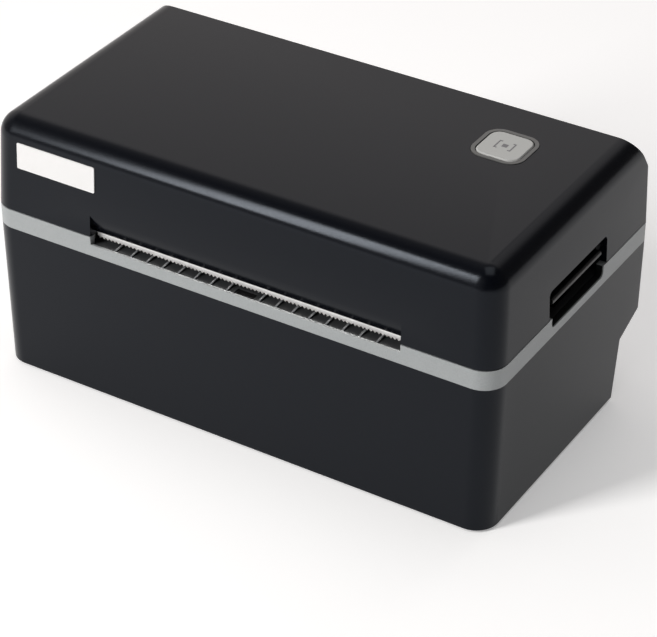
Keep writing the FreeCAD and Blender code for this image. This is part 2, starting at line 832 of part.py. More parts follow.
def middle_frame():
    body = new_body("frame_rings")
    inner = "wall + fit_gap + spigot_wall"
    frame_ring(body, "frame_spigot", "wall + fit_gap", inner, "z_band - spigot_depth", "z_ledge",
               "inner_corner", "inner_corner")
    frame_ring(body, "frame_flange", "0", inner, "z_band", "z_ledge", "rear_corner", "inner_corner")
    frame_ring(body, "frame_band", "0", "band_wall", "z_band", "z_parting", "rear_corner", "inner_corner")
    pieces = [body]
    tools = [
        block("exit_notch", ("slot_left", "slot_right"), ("front - wall", "front + wall + band_wall"),
              ("z_exit", "z_lid")),
        block("exit_pocket", ("slot_left", "slot_right"), ("front + exit_skin", "front + wall + band_wall"),
              ("z_deck", "z_lid")),
        block("entry_notch", ("slot_left", "slot_right"), ("rear - wall - band_wall", "rear + wall"),
              ("z_deck", "z_lid")),
        rounded_prism("grip_notch", "YZ_Plane", ("grip_y - notch_length/2", "grip_y + notch_length/2"),
                      ("z_deck", "z_lid + 2*grip_round"), "grip_round", "grip_round",
                      "-side - wall", "side + wall"),
    ]
    for index, middle in enumerate(HINGES):
        near = f"{middle} - {KNUCKLE_STEP}"
        far = f"{middle} + {KNUCKLE_STEP}"
        level = "hinge_z - knuckle_foot"
        pieces += knuckle(f"frame_knuckle_{index}_a", (f"{near} - base_knuckle", near), level, "band_wall")
        pieces += knuckle(f"frame_knuckle_{index}_b", (far, f"{far} + base_knuckle"), level, "band_wall")
        tools.append(rod(f"lid_knuckle_room_{index}", "x", ("rear", "hinge_z"), (near, far),
                         "hinge_radius + knuckle_room"))
        tools.append(rod(f"frame_pin_hole_{index}", "x", ("rear", "hinge_z"),
                         (f"{near} - base_knuckle", f"{far} + base_knuckle"), "hinge_pin_radius"))
    solid = fuse("frame_solid", *pieces)
    node(cut("frame", solid, *tools), "middle_frame")
    pins = [
        rod(f"hinge_pin_{index}", "x", ("rear", "hinge_z"),
            (f"{middle} - {KNUCKLE_STEP} - base_knuckle", f"{middle} + {KNUCKLE_STEP} + base_knuckle"),
            "hinge_pin_radius")
        for index, middle in enumerate(HINGES)
    ]
    node(group("hinge_pin_pair", *pins), "hinge_pins")


# Paper deck with the ribbed exit ramp

LATCH_SIDES = (("right", 1), ("left", -1))


def mirrored(low, high, sign):
    """A span along X on the right, or its mirror image on the left."""
    return (low, high) if sign > 0 else (f"-({high})", f"-({low})")


def guide_slot(sign):
    """The slot along which a guide's neck runs, from its outer to its inner place."""
    low = f"{sign}*(guide_reach - guide_travel + guide_thick/2 - neck_length/2 - run_gap)"
    high = f"{sign}*(guide_reach + guide_thick/2 + neck_length/2 + run_gap)"
    ends = (low, high) if sign > 0 else (high, low)
    return (f"path_offset + {ends[0]}", f"path_offset + {ends[1]}")


def paper_deck():
    inset = "band_wall + fit_gap"
    plate = rounded_prism("deck_plate", "XY_Plane", (f"-side + {inset}", f"side - ({inset})"),
                          (f"front + {inset}", "rear - hinge_radius - knuckle_room - fit_gap"),
                          f"front_corner - ({inset})", "inner_corner", "z_ledge", "z_deck")
    well = "platen_radius + well_room"
    lip_ends = ("slot_left + fit_gap", "slot_right - fit_gap")
    lip = prism("exit_lip", "YZ_Plane", [
        ("front + exit_skin", "z_deck"),
        (f"platen_y - ({well})", "z_deck"),
        (f"platen_y - ({well})", "z_exit - rib_rise"),
        ("front + exit_skin", "z_exit - rib_rise/2"),
    ], *lip_ends)
    pieces = [plate, lip]
    for index in range(int(number("rib_count"))):
        for sign in (-1, 1):
            middle = f"path_offset + {sign}*(rib_start + {index}*rib_pitch)"
            pieces.append(prism(f"exit_rib_{index}_{'left' if sign < 0 else 'right'}", "YZ_Plane", [
                ("front + exit_skin", "z_deck"),
                (f"platen_y - ({well})", "z_deck"),
                (f"platen_y - ({well})", "z_exit + rib_rise/2"),
                ("front + exit_skin + rib_rise", "z_exit"),
                ("front + exit_skin", "z_exit - rib_rise/2"),
            ], f"{middle} - rib_width/2", f"{middle} + rib_width/2"))
    for name, low, high in (("left", "bearing_low", "bearing_low + bearing_width"),
                            ("right", "bearing_high - bearing_width", "bearing_high")):
        pieces.append(block(f"bearing_{name}", (low, high),
                            ("platen_y - bearing_drop", "platen_y + bearing_drop"),
                            ("platen_z - bearing_drop", "z_deck")))
    pieces.append(rod("guide_stud", "z", ("path_offset", "guide_y"), ("rack_low - run_gap", "z_ledge"),
                      "guide_stud_radius"))
    tools = [
        block("platen_well", ("platen_low - bearing_room/2", "platen_high + bearing_room/2"),
              (f"platen_y - ({well})", f"platen_y + {well}"), ("z_ledge", "z_lid")),
        block("gear_well", ("gear_near - run_gap", "bearing_low"),
              ("platen_y - platen_tip - well_room", "platen_y + platen_tip + well_room"),
              ("z_ledge", "z_lid")),
        rod("bush_seats", "x", ("platen_y", "platen_z"), ("bearing_low", "bearing_high"), "bush_radius"),
        rod("bush_flange_room", "x", ("platen_y", "platen_z"),
            ("bearing_high", "bearing_high + bush_flange + 2*fit_gap"), "bush_flange_radius + run_gap"),
        block("label_window", ("path_offset - window_width/2", "path_offset + window_width/2"),
              ("front + exit_skin + rib_width", "front + exit_skin + rib_width + window_depth"),
              ("z_ledge", "z_lid")),
        block("gap_window", ("path_offset - window_width/2", "path_offset + window_width/2"),
              ("gap_y", "gap_y + window_depth"),
              ("z_ledge", "z_deck")),
        peg("guide_screw_hole", "z", ("path_offset", "guide_y"), ("rack_low - run_gap", "z_ledge"),
            "screw_radius/2"),
    ]
    for sign in (-1, 1):
        neck = f"guide_y + {sign}*neck_y"
        tools.append(block(f"guide_slot_{'left' if sign < 0 else 'right'}", guide_slot(sign),
                           (f"{neck} - neck_thick/2 - run_gap", f"{neck} + neck_thick/2 + run_gap"),
                           ("z_ledge", "z_deck")))
    for name, sign in LATCH_SIDES:
        tools.append(block(f"hook_slot_{name}",
                           mirrored("hook_in - hook_room", "side - wall - fit_gap - spigot_wall - fit_gap",
                                    sign),
                           ("grip_y - hook_width/2 - 5*run_gap", "grip_y + hook_width/2 + 2*run_gap"),
                           ("z_ledge", "z_deck")))
    for index, spot in enumerate(POSTS):
        tools.append(peg(f"deck_hole_{index}", "z", spot, ("z_ledge", "z_deck"), "screw_radius + fit_gap"))
    node(cut("deck", fuse("deck_solid", *pieces), *tools), "paper_deck")
    screws("deck_screws", POSTS, "z_deck", False)


def sensors():
    """A label sensor in the ramp, and a gap sensor in two halves under the deck and over the liner."""
    eye = ("path_offset - window_width/2 + run_gap", "path_offset + window_width/2 - run_gap")
    start = "front + exit_skin + rib_width + fit_gap"
    end = "front + exit_skin + rib_width + window_depth - fit_gap"
    face = block("label_face", eye, (start, end), ("z_deck", "z_exit - rib_rise"))
    stem = block("label_stem", eye, ("front + band_wall + 2*fit_gap", end), ("z_ledge", "z_deck"))
    node(fuse("label_eye", face, stem), "label_sensor")
    plan = ("path_offset - window_width", "path_offset + window_width")
    rows = (
        ("gap_sensor_lower", ("z_ledge - board_thick", "z_ledge"), ("z_ledge", "z_deck - fit_gap")),
        ("gap_sensor_upper", ("z_liner_top", "z_liner_top + board_thick"),
         ("z_liner + fit_gap", "z_liner_top")),
    )
    for name, plate_z, eye_z in rows:
        plate = block(name + "_plate", plan, ("gap_y - window_depth", "gap_y + 2*window_depth"), plate_z)
        lens = block(name + "_eye", eye, ("gap_y + fit_gap", "gap_y + window_depth - fit_gap"), eye_z)
        node(fuse(name + "_solid", plate, lens), name)


# Platen roller, its bushings and the gear train


def platen():
    axis = ("platen_y", "platen_z")
    span = ("platen_low", "platen_high")
    node(rod("shaft_rod", "x", axis, ("gear_near", "bearing_high + bush_flange + fit_gap"),
             "platen_shaft_radius"), "platen_shaft")
    tube = cut("roller_tube", rod("roller_solid", "x", axis, span, "platen_radius"),
               rod("roller_bore", "x", axis, span, "platen_shaft_radius"))
    node(tube, "platen_roller")
    bushes = []
    for name, low, collar in (("left", "bearing_low", "bearing_low - bush_flange"),
                              ("right", "bearing_high - bearing_width", "bearing_high")):
        sleeve = rod(f"bush_{name}_sleeve", "x", axis, (low, f"{low} + bearing_width"), "bush_radius")
        flange = rod(f"bush_{name}_flange", "x", axis, (collar, f"{collar} + bush_flange"),
                     "bush_flange_radius")
        bore = rod(f"bush_{name}_bore", "x", axis, ("bearing_low - bush_flange",
                                                    "bearing_high + bush_flange"),
                   "platen_shaft_radius + pin_play")
        bushes.append(cut(f"bush_{name}", fuse(f"bush_{name}_solid", sleeve, flange), bore))
    node(group("bush_pair", *bushes), "platen_bushings")


def gear_train():
    """Pinion, compound idler and platen gear, each meshing tooth into gap."""
    to_idler = math.radians(number("idler_angle"))
    to_motor = math.radians(number("motor_angle"))
    half_tooth = {name: math.pi/int(number(name)) for name in ("idler_small_teeth", "motor_teeth")}
    platen_axis = ("platen_y", "platen_z")
    idler_axis = ("idler_y", "idler_z")
    motor_axis = ("motor_y", "motor_z")
    wheel = gear_on_x("platen_wheel", "platen_teeth", "gear_near", platen_axis, to_idler,
                      "platen_shaft_radius")
    node(wheel, "platen_gear")
    bore = "stud_radius + pin_play"
    small = gear_on_x("idler_small", "idler_small_teeth", "gear_near", idler_axis,
                      to_idler + math.pi + half_tooth["idler_small_teeth"], bore)
    large = gear_on_x("idler_large", "idler_large_teeth", "gear_far", idler_axis, to_motor, bore)
    hub = cut("idler_hub",
              rod("idler_hub_solid", "x", idler_axis, ("gear_far", "gear_near + gear_width"),
                  "2*stud_radius"),
              rod("idler_hub_bore", "x", idler_axis, ("gear_far", "gear_near + gear_width"), bore))
    node(fuse("idler_wheel", small, large, hub), "idler_gear")
    pinion = gear_on_x("motor_wheel", "motor_teeth", "gear_far", motor_axis,
                       to_motor + math.pi + half_tooth["motor_teeth"], "motor_shaft_radius")
    node(pinion, "motor_pinion")
    node(rod("motor_rod", "x", motor_axis, ("gear_far - fit_gap",
                                            "bracket_x + bracket_thick + motor_length/2"),
             "motor_shaft_radius"), "motor_shaft")
    node(rod("idler_pin", "x", idler_axis, ("gear_far - run_gap", "bracket_x + bracket_thick"),
             "stud_radius"),
         "idler_stud")


MOTOR_HOLES = [
    ("motor_y + motor_hole_spread/2", "motor_z + motor_hole_spread/2"),
    ("motor_y - motor_hole_spread/2", "motor_z - motor_hole_spread/2"),
]


def motor_and_bracket():
    """A bent steel plate under the deck that carries the motor and the idler stud."""
    sheet_span = ("bracket_x", "bracket_x + bracket_thick")
    ear = "platen_y + bearing_drop + bush_radius/2"
    front_edge = "motor_y - motor_size/2"
    rear_edge = "motor_y + motor_size/2"
    plate = prism("bracket_plate", "YZ_Plane", [
        (front_edge, "motor_z - motor_size/2"),
        (rear_edge, "motor_z - motor_size/2"),
        (rear_edge, "z_ledge"),
        (ear, "z_ledge"),
        (ear, "idler_z + 4*stud_radius"),
        (front_edge, "idler_z + stud_radius"),
    ], *sheet_span)
    tab = block("bracket_tab", ("bracket_x", "bracket_x + bracket_thick + bracket_foot"),
                (f"{ear} + bracket_thick", f"{rear_edge} - bracket_thick"),
                ("z_ledge - bracket_thick", "z_ledge"))
    tools = [
        rod("bracket_boss_hole", "x", ("motor_y", "motor_z"), sheet_span, "motor_boss_radius + fit_gap"),
        rod("bracket_stud_hole", "x", ("idler_y", "idler_z"), sheet_span, "stud_radius"),
    ]
    shell = rounded_prism("motor_can", "YZ_Plane", ("motor_y - motor_size/2", "motor_y + motor_size/2"),
                          ("motor_z - motor_size/2", "motor_z + motor_size/2"), "motor_corner",
                          "motor_corner", "bracket_x + bracket_thick",
                          "bracket_x + bracket_thick + motor_length")
    boss = rod("motor_boss", "x", ("motor_y", "motor_z"), ("bracket_x", "bracket_x + 2*bracket_thick"),
               "motor_boss_radius")
    motor_tools = [
        rod("motor_bore", "x", ("motor_y", "motor_z"),
            ("bracket_x", "bracket_x + bracket_thick + motor_length/2 + run_gap"),
            "motor_shaft_radius + pin_play"),
    ]
    bolts = []
    for index, spot in enumerate(MOTOR_HOLES):
        tools.append(peg(f"bracket_hole_{index}", "x", spot, sheet_span, "screw_radius"))
        deep = ("bracket_x", "bracket_x + screw_bite")
        motor_tools.append(peg(f"motor_hole_{index}", "x", spot, deep, "screw_radius"))
        head = peg(f"motor_bolt_head_{index}", "x", spot, ("bracket_x - screw_head_height", "bracket_x"),
                   "screw_head_radius")
        bolts.append(fuse(f"motor_bolt_{index}", head,
                          peg(f"motor_bolt_shank_{index}", "x", spot, deep, "screw_radius")))
    node(cut("bracket", fuse("bracket_solid", plate, tab), *tools), "gear_bracket")
    node(cut("motor", fuse("motor_solid", shell, boss), *motor_tools), "stepper_motor")
    node(group("motor_bolts", *bolts), "motor_screws")


# Label guides on racks, coupled by a pinion


def paper_guide(name, sign):
    near = f"path_offset + {sign}*guide_reach"
    spans = {}
    for part, width in (("fence", "guide_thick"), ("foot", "guide_foot")):
        ends = (near, f"{near} + {sign}*{width}")
        spans[part] = ends if sign > 0 else ends[::-1]
    foot_low = "z_deck + fit_gap"
    fence = prism(f"guide_{name}_fence", "YZ_Plane", [
        ("guide_y - guide_length/2", foot_low),
        ("guide_y + guide_length/2", foot_low),
        ("guide_y + guide_length/2 - guide_thick", "z_deck + guide_height"),
        ("guide_y - guide_length/2 + guide_thick", "z_deck + guide_height"),
    ], *spans["fence"])
    foot = block(f"guide_{name}_foot", spans["foot"], ("guide_y - guide_length/2",
                                                       "guide_y + guide_length/2"),
                 (foot_low, "z_deck + guide_foot_thick"))
    middle = f"path_offset + {sign}*(guide_reach + guide_thick/2)"
    line = f"guide_y + {sign}*neck_y"
    neck = block(f"guide_{name}_neck", (f"{middle} - neck_length/2", f"{middle} + neck_length/2"),
                 (f"{line} - neck_thick/2", f"{line} + neck_thick/2"),
                 ("rack_low", "z_deck + guide_foot_thick"))
    ends = (f"path_offset - {sign}*rack_over", f"{middle} + {sign}*neck_length/2")
    rack = rack_shape(f"guide_{name}_rack", ends if sign > 0 else ends[::-1],
                      f"guide_y + {sign}*rack_radius", -sign)
    node(fuse(f"guide_{name}", fence, foot, neck, rack), f"paper_guide_{name}")


def guide_drive():
    paper_guide("left", -1)
    paper_guide("right", 1)
    origin = FreeCAD.Vector(number("path_offset"), number("guide_y"), number("rack_low"))
    points = gear_points(int(number("rack_teeth")), number("rack_module"), number("gear_play"), -math.pi/2)
    height = number("rack_height")
    wheel = drawn(points, origin, FreeCAD.Vector(1, 0, 0), FreeCAD.Vector(0, 1, 0), height)
    feature = doc.addObject("Part::Feature", "guide_wheel")
    feature.Shape = wheel.cut(Part.makeCylinder(number("guide_stud_radius + pin_play"), height, origin))
    node(feature, "guide_pinion")
    seat = "rack_low - run_gap"
    middle = ("path_offset", "guide_y")
    head = peg("guide_screw_head", "z", middle, (f"{seat} - screw_head_height", seat),
               "guide_stud_radius + 1")
    shank = peg("guide_screw_shank", "z", middle, (seat, "z_ledge"), "screw_radius/2")
    node(fuse("guide_bolt", head, shank), "guide_screw")


# Main board with its sockets, and the power switch


def main_board():
    plate = block("board_plate", ("board_left", "board_right"), ("board_y_low", "board_y_high"),
                  ("z_board", "z_board_top"))
    holes = [
        peg(f"board_hole_{index}", "z", spot, ("z_board", "z_board_top"), "screw_radius + fit_gap")
        for index, spot in enumerate(STANDOFFS)
    ]
    notch = block("board_notch",
                        ("switch_place - switch_width/2", "switch_place + switch_width/2"),
                        ("panel_y - switch_depth - run_gap", "board_y_high"), ("z_board", "z_board_top"))
    node(cut("board", plate, notch, *holes), "main_board")
    screws("board_screws", STANDOFFS, "z_board_top", False)
    chips = (
        ("chip_processor", 30.0, 24.0, 12.0, 12.0, 1.4),
        ("chip_memory", 50.0, 26.0, 8.0, 6.0, 1.2),
        ("chip_driver", 12.0, 16.0, 10.0, 10.0, 2.2),
        ("plug_head", 62.0, 12.0, 24.0, 5.0, 5.0),
        ("plug_motor", 18.0, 3.0, 12.0, 5.0, 6.0),
        ("plug_sensor", 36.0, 3.0, 10.0, 5.0, 6.0),
    )
    pieces = []
    for name, along, across, width, depth, height in chips:
        x, y = f"board_left + {along}", f"board_y_low + {across}"
        pieces.append(block(name, (f"{x} - {width/2}", f"{x} + {width/2}"),
                            (f"{y} - {depth/2}", f"{y} + {depth/2}"),
                            ("z_board_top", f"z_board_top + {height}")))
    for index in range(3):
        pieces.append(peg(f"capacitor_{index}", "z", (f"board_right - {16 + 11*index}", "board_y_low + 36"),
                          ("z_board_top", "z_board_top + 10"), 4.0))
    node(group("board_set", *pieces), "board_parts")


def sockets():
    face = "panel_y + port_proud"
    shell = block("usb_shell", ("usb_place - usb_width/2", "usb_place + usb_width/2"),
                  (f"{face} - usb_depth", face), ("z_board_top", "z_board_top + usb_height"))
    cavity = block("usb_cavity_tool", ("usb_place - usb_width/2 + usb_wall",
                                       "usb_place + usb_width/2 - usb_wall"),
                   (f"{face} - usb_cavity", face),
                   ("z_board_top + usb_wall", "z_board_top + usb_height - usb_wall"))
    node(cut("usb_body", shell, cavity), "usb_socket")
    middle = "z_board_top + usb_height/2"
    node(block("usb_blade", ("usb_place - tongue_width/2", "usb_place + tongue_width/2"),
               (f"{face} - usb_cavity", f"{face} - usb_wall"),
               (f"{middle} - tongue_height/2", f"{middle} + tongue_height/2")), "usb_tongue")
    body = block("jack_shell", ("jack_place - jack_width/2", "jack_place + jack_width/2"),
                 (f"{face} - jack_depth", face), ("z_board_top", "z_board_top + jack_height"))
    axis = ("jack_place", "z_board_top + jack_height/2")
    node(cut("jack_body", body, rod("jack_bore", "y", axis, (f"{face} - jack_cavity", face),
                                    "jack_bore_radius")),
         "power_jack")
    node(rod("jack_contact", "y", axis, (f"{face} - jack_cavity", f"{face} - port_proud"), "jack_pin_radius"),
         "jack_pin")


def power_switch():
    def across(inset):
        return (f"switch_place - switch_width/2 + {inset}", f"switch_place + switch_width/2 - ({inset})")

    def upright(inset):
        return (f"switch_level - switch_height/2 + {inset}", f"switch_level + switch_height/2 - ({inset})")

    rim = rounded_prism("switch_bezel", "XZ_Plane", across("0"), upright("0"), "switch_rim", "switch_rim",
                        "panel_y", "panel_y + switch_rim")
    box = block("switch_box", across("switch_lip + fit_gap"), ("panel_y - switch_depth", "panel_y"),
                upright("switch_lip + fit_gap"))
    room = block("switch_room_tool",
                 ("switch_place - rocker_width/2 - switch_room",
                  "switch_place + rocker_width/2 + switch_room"),
                 ("panel_y - 2*rocker_depth", "panel_y + switch_rim"),
                 ("switch_level - rocker_height/2 - run_gap", "switch_level + rocker_height/2 + run_gap"))
    node(cut("switch_frame_solid", fuse("switch_solid", rim, box), room), "switch_frame")
    half = "rocker_width/2"
    rocker = prism("rocker", "XY_Plane", [
        (f"-{half}", "0"),
        ("-rocker_depth", "-rocker_depth"),
        ("rocker_depth", "-rocker_depth"),
        (half, "0"),
        (half, "2*rocker_dish"),
        ("0", "rocker_dish"),
        (f"-{half}", "2*rocker_dish"),
    ], "-rocker_height/2", "rocker_height/2")
    rocker.Placement = FreeCAD.Placement(
        FreeCAD.Vector(), FreeCAD.Rotation(FreeCAD.Vector(0, 0, 1), number("rocker_tilt")))
    bind(rocker, "Placement.Base.x", "switch_place")
    bind(rocker, "Placement.Base.y", "panel_y")
    bind(rocker, "Placement.Base.z", "switch_level")
    node(rocker, "power_rocker")


# Lid: top cover and liner


def lid_form(name, inset, top):
    """The lid's outer form, or its hollow where the inset is the wall."""
    body = new_body(name)
    low_half = f"side - {inset}"
    high_half = f"side - {inset} - lid_side_draft"
    section = polygon_sketch(body, name + "_section", "XZ_Plane", f"-(rear - {inset})", [
        (f"-({low_half})", "z_lid"),
        (low_half, "z_lid"),
        (high_half, top),
        (f"-({high_half})", top),
    ])
    pad(body, name + "_pad", section, f"case_depth - 2*{inset}")
    through_pocket(body, name + "_lean", [
        (f"front + {inset}", "z_lid"),
        (f"front + {inset} + lid_front_draft", top),
        ("front - wall", top),
        ("front - wall", "z_lid"),
    ])
    middle = number("(front + rear)/2")
    round_edges(body, name + "_corners", f"front_corner - {inset}",
                lambda edge: edge.BoundBox.ZLength > 1 and edge.CenterOfMass.y < middle)
    level, back = number(top), number(f"rear - {inset}")
    round_edges(body, name + "_round", f"lid_edge_round - {inset}",
                lambda edge: level_at(edge, level) and edge.CenterOfMass.y < back - 0.01)
    shift = f"{inset}*(slope_run - rear_slope_depth)/rear_slope_height"
    drop = f"{inset}*(slope_run - rear_slope_height)/rear_slope_depth"
    slope_top = f"rear - rear_slope_depth - {shift}"
    slope_foot = f"z_top - rear_slope_height - {drop}"
    through_pocket(body, name + "_slope", [
        (slope_top, f"z_top - {inset}"),
        (f"rear - {inset}", slope_foot),
        ("rear + wall", slope_foot),
        ("rear + wall", "z_top + wall"),
        (slope_top, "z_top + wall"),
    ])
    return body


LID_POSTS = [
    (x, y)
    for x in ("-(side - lid_post_inset)", "side - lid_post_inset")
    for y in ("front + lid_post_inset", "rear - lid_post_inset")
]
BUTTON_POSTS = [
    (f"button_right + {sign}*(button_board_length/2 - lid_post_radius)", "button_y")
    for sign in (-1, 1)
]


def button_plan(name, half, corner, low, high):
    """A rounded square about the button's axis."""
    return rounded_prism(name, "XY_Plane", (f"button_right - ({half})", f"button_right + {half}"),
                         (f"button_y - ({half})", f"button_y + {half}"), corner, corner, low, high)


def top_cover():
    outer = lid_form("lid_outer", "0", "z_top")
    sharp_back = number("rear")
    round_edges(outer, "lid_rear_round", "rear_corner",
                lambda edge: edge.BoundBox.ZLength > 1 and abs(edge.BoundBox.YMin - sharp_back) < 0.01
                and abs(edge.BoundBox.YMax - sharp_back) < 0.01)
    shell = cut("lid_shell", outer, lid_form("lid_hollow", "wall", "z_top - wall"))
    pieces = [shell]
    pieces.append(block("bar_block", ("slot_left - wall", "slot_right + wall"),
                        ("front + wall/2 + lid_front_draft/2", "front + wedge_depth + bar_block"),
                        ("z_lid", "z_lid + wedge_height + wall")))
    for index, spot in enumerate(LID_POSTS):
        pieces.append(peg(f"lid_post_{index}", "z", spot, ("z_liner_top", "z_top - wall/2"),
                          "lid_post_radius"))
    for index, spot in enumerate(BUTTON_POSTS):
        pieces.append(peg(f"button_post_{index}", "z", spot, ("z_button_board", "z_top - wall/2"),
                          "lid_post_radius"))
    wedge_foot = "front + lid_front_draft*wedge_height/(lid_height - lid_gap)"
    tools = [
        prism("exit_wedge", "YZ_Plane", [
            (wedge_foot, "z_lid + wedge_height"),
            ("front + wedge_depth", "z_lid"),
            ("front - wall", "z_lid"),
            ("front - wall", "z_lid + wedge_height"),
        ], "slot_left", "slot_right"),
        block("lid_entry", ("slot_left", "slot_right"), ("rear - 2*wall", "rear + wall"),
              ("z_lid", "z_liner")),
        rounded_prism("grip_opening", "YZ_Plane", ("grip_y - grip_length/2", "grip_y + grip_length/2"),
                      ("z_lid - 2*grip_round", "z_lid + grip_height"), "grip_round", "grip_round",
                      "-side - wall", "side + wall"),
        button_plan("button_opening", "ring_size/2 + fit_gap", "ring_round + fit_gap", "z_top - 2*wall",
                    "z_top + wall"),
    ]
    for index, spot in enumerate(LID_POSTS):
        tools.append(peg(f"lid_post_hole_{index}", "z", spot, ("z_liner_top", "z_liner + screw_bite"),
                         "screw_radius"))
    for index, spot in enumerate(BUTTON_POSTS):
        tools.append(peg(f"button_post_hole_{index}", "z", spot,
                         ("z_button_board", "z_button_board - board_thick + screw_bite"), "screw_radius"))
    for index, middle in enumerate(HINGES):
        near = f"{middle} - lid_knuckle/2"
        far = f"{middle} + lid_knuckle/2"
        for mark, low, high in (("a", f"{near} - 2*knuckle_gap - base_knuckle", near),
                                ("b", far, f"{far} + 2*knuckle_gap + base_knuckle")):
            tools.append(rod(f"frame_knuckle_room_{index}_{mark}", "x", ("rear", "hinge_z"), (low, high),
                             "hinge_radius + knuckle_room"))
    hollowed = cut("lid_open", fuse("lid_solid", *pieces), *tools)
    knuckles, bores = [], []
    for index, middle in enumerate(HINGES):
        span = (f"{middle} - lid_knuckle/2", f"{middle} + lid_knuckle/2")
        knuckles += knuckle(f"lid_knuckle_{index}", span, "hinge_z + knuckle_foot", "wall")
        bores.append(rod(f"lid_pin_hole_{index}", "x", ("rear", "hinge_z"), span,
                         "hinge_pin_radius + pin_play"))
    node(cut("lid", fuse("lid_hinged", hollowed, *knuckles), *bores), "top_cover")


def lid_liner():
    inset = "wall + 2*fit_gap"
    plate = rounded_prism("liner_plate", "XY_Plane", (f"-side + {inset}", f"side - ({inset})"),
                          ("front + wedge_depth + bar_block + 2*fit_gap", f"rear - ({inset})"),
                          "front_corner - wall", "rear_corner", "z_liner", "z_liner_top")
    pieces = [plate]
    tools = [
        block("head_window", ("path_offset - sink_width/2 - 2*run_gap",
                              "path_offset + sink_width/2 + 2*run_gap"),
              ("front", "head_y + sink_depth + 2*run_gap"), ("z_liner", "z_liner_top")),
        block("upper_gap_window", ("path_offset - window_width/2", "path_offset + window_width/2"),
              ("gap_y", "gap_y + window_depth"),
              ("z_liner", "z_liner_top")),
    ]
    for name, sign in LATCH_SIDES:
        tools.append(block(f"latch_room_{name}", mirrored("hook_in - 2*run_gap", "side", sign),
                           ("grip_y - lug_in", "grip_y + lug_in"), ("z_liner", "z_liner_top")))
        for end, low, high in (("front", "grip_y - lug_out", "grip_y - lug_in"),
                               ("rear", "grip_y + lug_in", "grip_y + lug_out")):
            pieces.append(block(f"lug_{name}_{end}", mirrored("pivot_x - lug_half", "pivot_x + lug_half",
                                                              sign),
                                (low, high), ("z_liner", "pivot_z + lug_half")))
        tools.append(rod(f"lug_hole_{name}", "y", (f"{sign}*pivot_x", "pivot_z"),
                         ("grip_y - lug_out", "grip_y + lug_out"), "latch_pin_radius"))
    for index, spot in enumerate(LID_POSTS):
        tools.append(peg(f"liner_hole_{index}", "z", spot, ("z_liner", "z_liner_top"),
                         "screw_radius + fit_gap"))
    node(cut("liner", fuse("liner_solid", *pieces), *tools), "lid_liner")
    screws("liner_screws", LID_POSTS, "z_liner", True)


# Print head, pressed down by leaf springs, and the tear bar

HEAD_PINS = [(f"path_offset + {sign}*head_pin_spread", "head_y + sink_depth/2") for sign in (-1, 1)]


def print_head():
    span = ("path_offset - sink_width/2", "path_offset + sink_width/2")
    sink = block("sink_block", span, ("head_y", "head_y + sink_depth"), ("z_sink", "z_sink_top"))
    tools = [
        rod(f"sink_hole_{index}", "z", spot, ("z_sink", "z_sink_top"), "head_pin_radius + pin_play")
        for index, spot in enumerate(HEAD_PINS)
    ]
    for index in (1, 4):
        middle = f"head_y + {index}*sink_depth/5"
        tools.append(block(f"sink_groove_{index}", span,
                           (f"{middle} - sink_groove/2", f"{middle} + sink_groove/2"),
                           ("z_sink_top - sink_groove", "z_sink_top")))
    node(cut("sink", sink, *tools), "head_heatsink")
    node(prism("head_plate", "YZ_Plane", [
        ("head_y", "z_sink"),
        ("head_y", "z_head + head_thick/2"),
        ("head_y + head_thick", "z_head"),
        ("head_y + head_depth - head_thick", "z_head"),
        ("head_y + head_depth", "z_head + head_thick/2"),
        ("head_y + head_depth", "z_sink"),
    ], "path_offset - head_width/2", "path_offset + head_width/2"), "print_head")


def head_mount():
    leg = "sink_width/2 + 6*run_gap"
    toe = f"{leg} + bracket_foot"
    right = [
        (leg, "z_bracket"),
        (leg, "z_liner_top"),
        (toe, "z_liner_top"),
        (toe, "z_liner_top + bracket_thick"),
        (f"{leg} + bracket_thick", "z_liner_top + bracket_thick"),
        (f"{leg} + bracket_thick", "z_bracket + bracket_thick"),
    ]
    outline = [(f"path_offset + {x}", z) for x, z in right]
    outline += [(f"path_offset - ({x})", z) for x, z in reversed(right)]
    bridge = prism("bridge", "XZ_Plane", outline, "head_y + sink_groove", "head_y + sink_depth - sink_groove")
    top = "z_bracket + bracket_thick"
    holes = [
        rod(f"bridge_hole_{index}", "z", spot, ("z_bracket", top), "head_pin_radius")
        for index, spot in enumerate(HEAD_PINS)
    ]
    node(cut("bridge_drilled", bridge, *holes), "head_bracket")
    pins = [
        rod(f"head_pin_{index}", "z", spot, ("z_sink + head_travel + fit_gap", top), "head_pin_radius")
        for index, spot in enumerate(HEAD_PINS)
    ]
    node(group("head_pin_pair", *pins), "head_guide_pins")
    springs = []
    for index, sign in enumerate((-1, 1)):
        middle = f"path_offset + {sign}*leaf_spread"
        springs.append(prism(f"leaf_{index}", "XZ_Plane", [
            (f"{middle} - leaf_length/2", "z_sink_top"),
            (f"{middle} - leaf_length/4", "z_sink_top"),
            (f"{middle} - leaf_length/8", "z_bracket - leaf_thick"),
            (f"{middle} + leaf_length/8", "z_bracket - leaf_thick"),
            (f"{middle} + leaf_length/4", "z_sink_top"),
            (f"{middle} + leaf_length/2", "z_sink_top"),
            (f"{middle} + leaf_length/2", "z_sink_top + leaf_thick"),
            (f"{middle} + leaf_length/4 + leaf_thick", "z_sink_top + leaf_thick"),
            (f"{middle} + leaf_length/8 + leaf_thick", "z_bracket"),
            (f"{middle} - leaf_length/8 - leaf_thick", "z_bracket"),
            (f"{middle} - leaf_length/4 - leaf_thick", "z_sink_top + leaf_thick"),
            (f"{middle} - leaf_length/2", "z_sink_top + leaf_thick"),
        ], "head_y + sink_depth/2 - leaf_width/2", "head_y + sink_depth/2 + leaf_width/2"))
    node(group("leaf_pair", *springs), "head_springs")


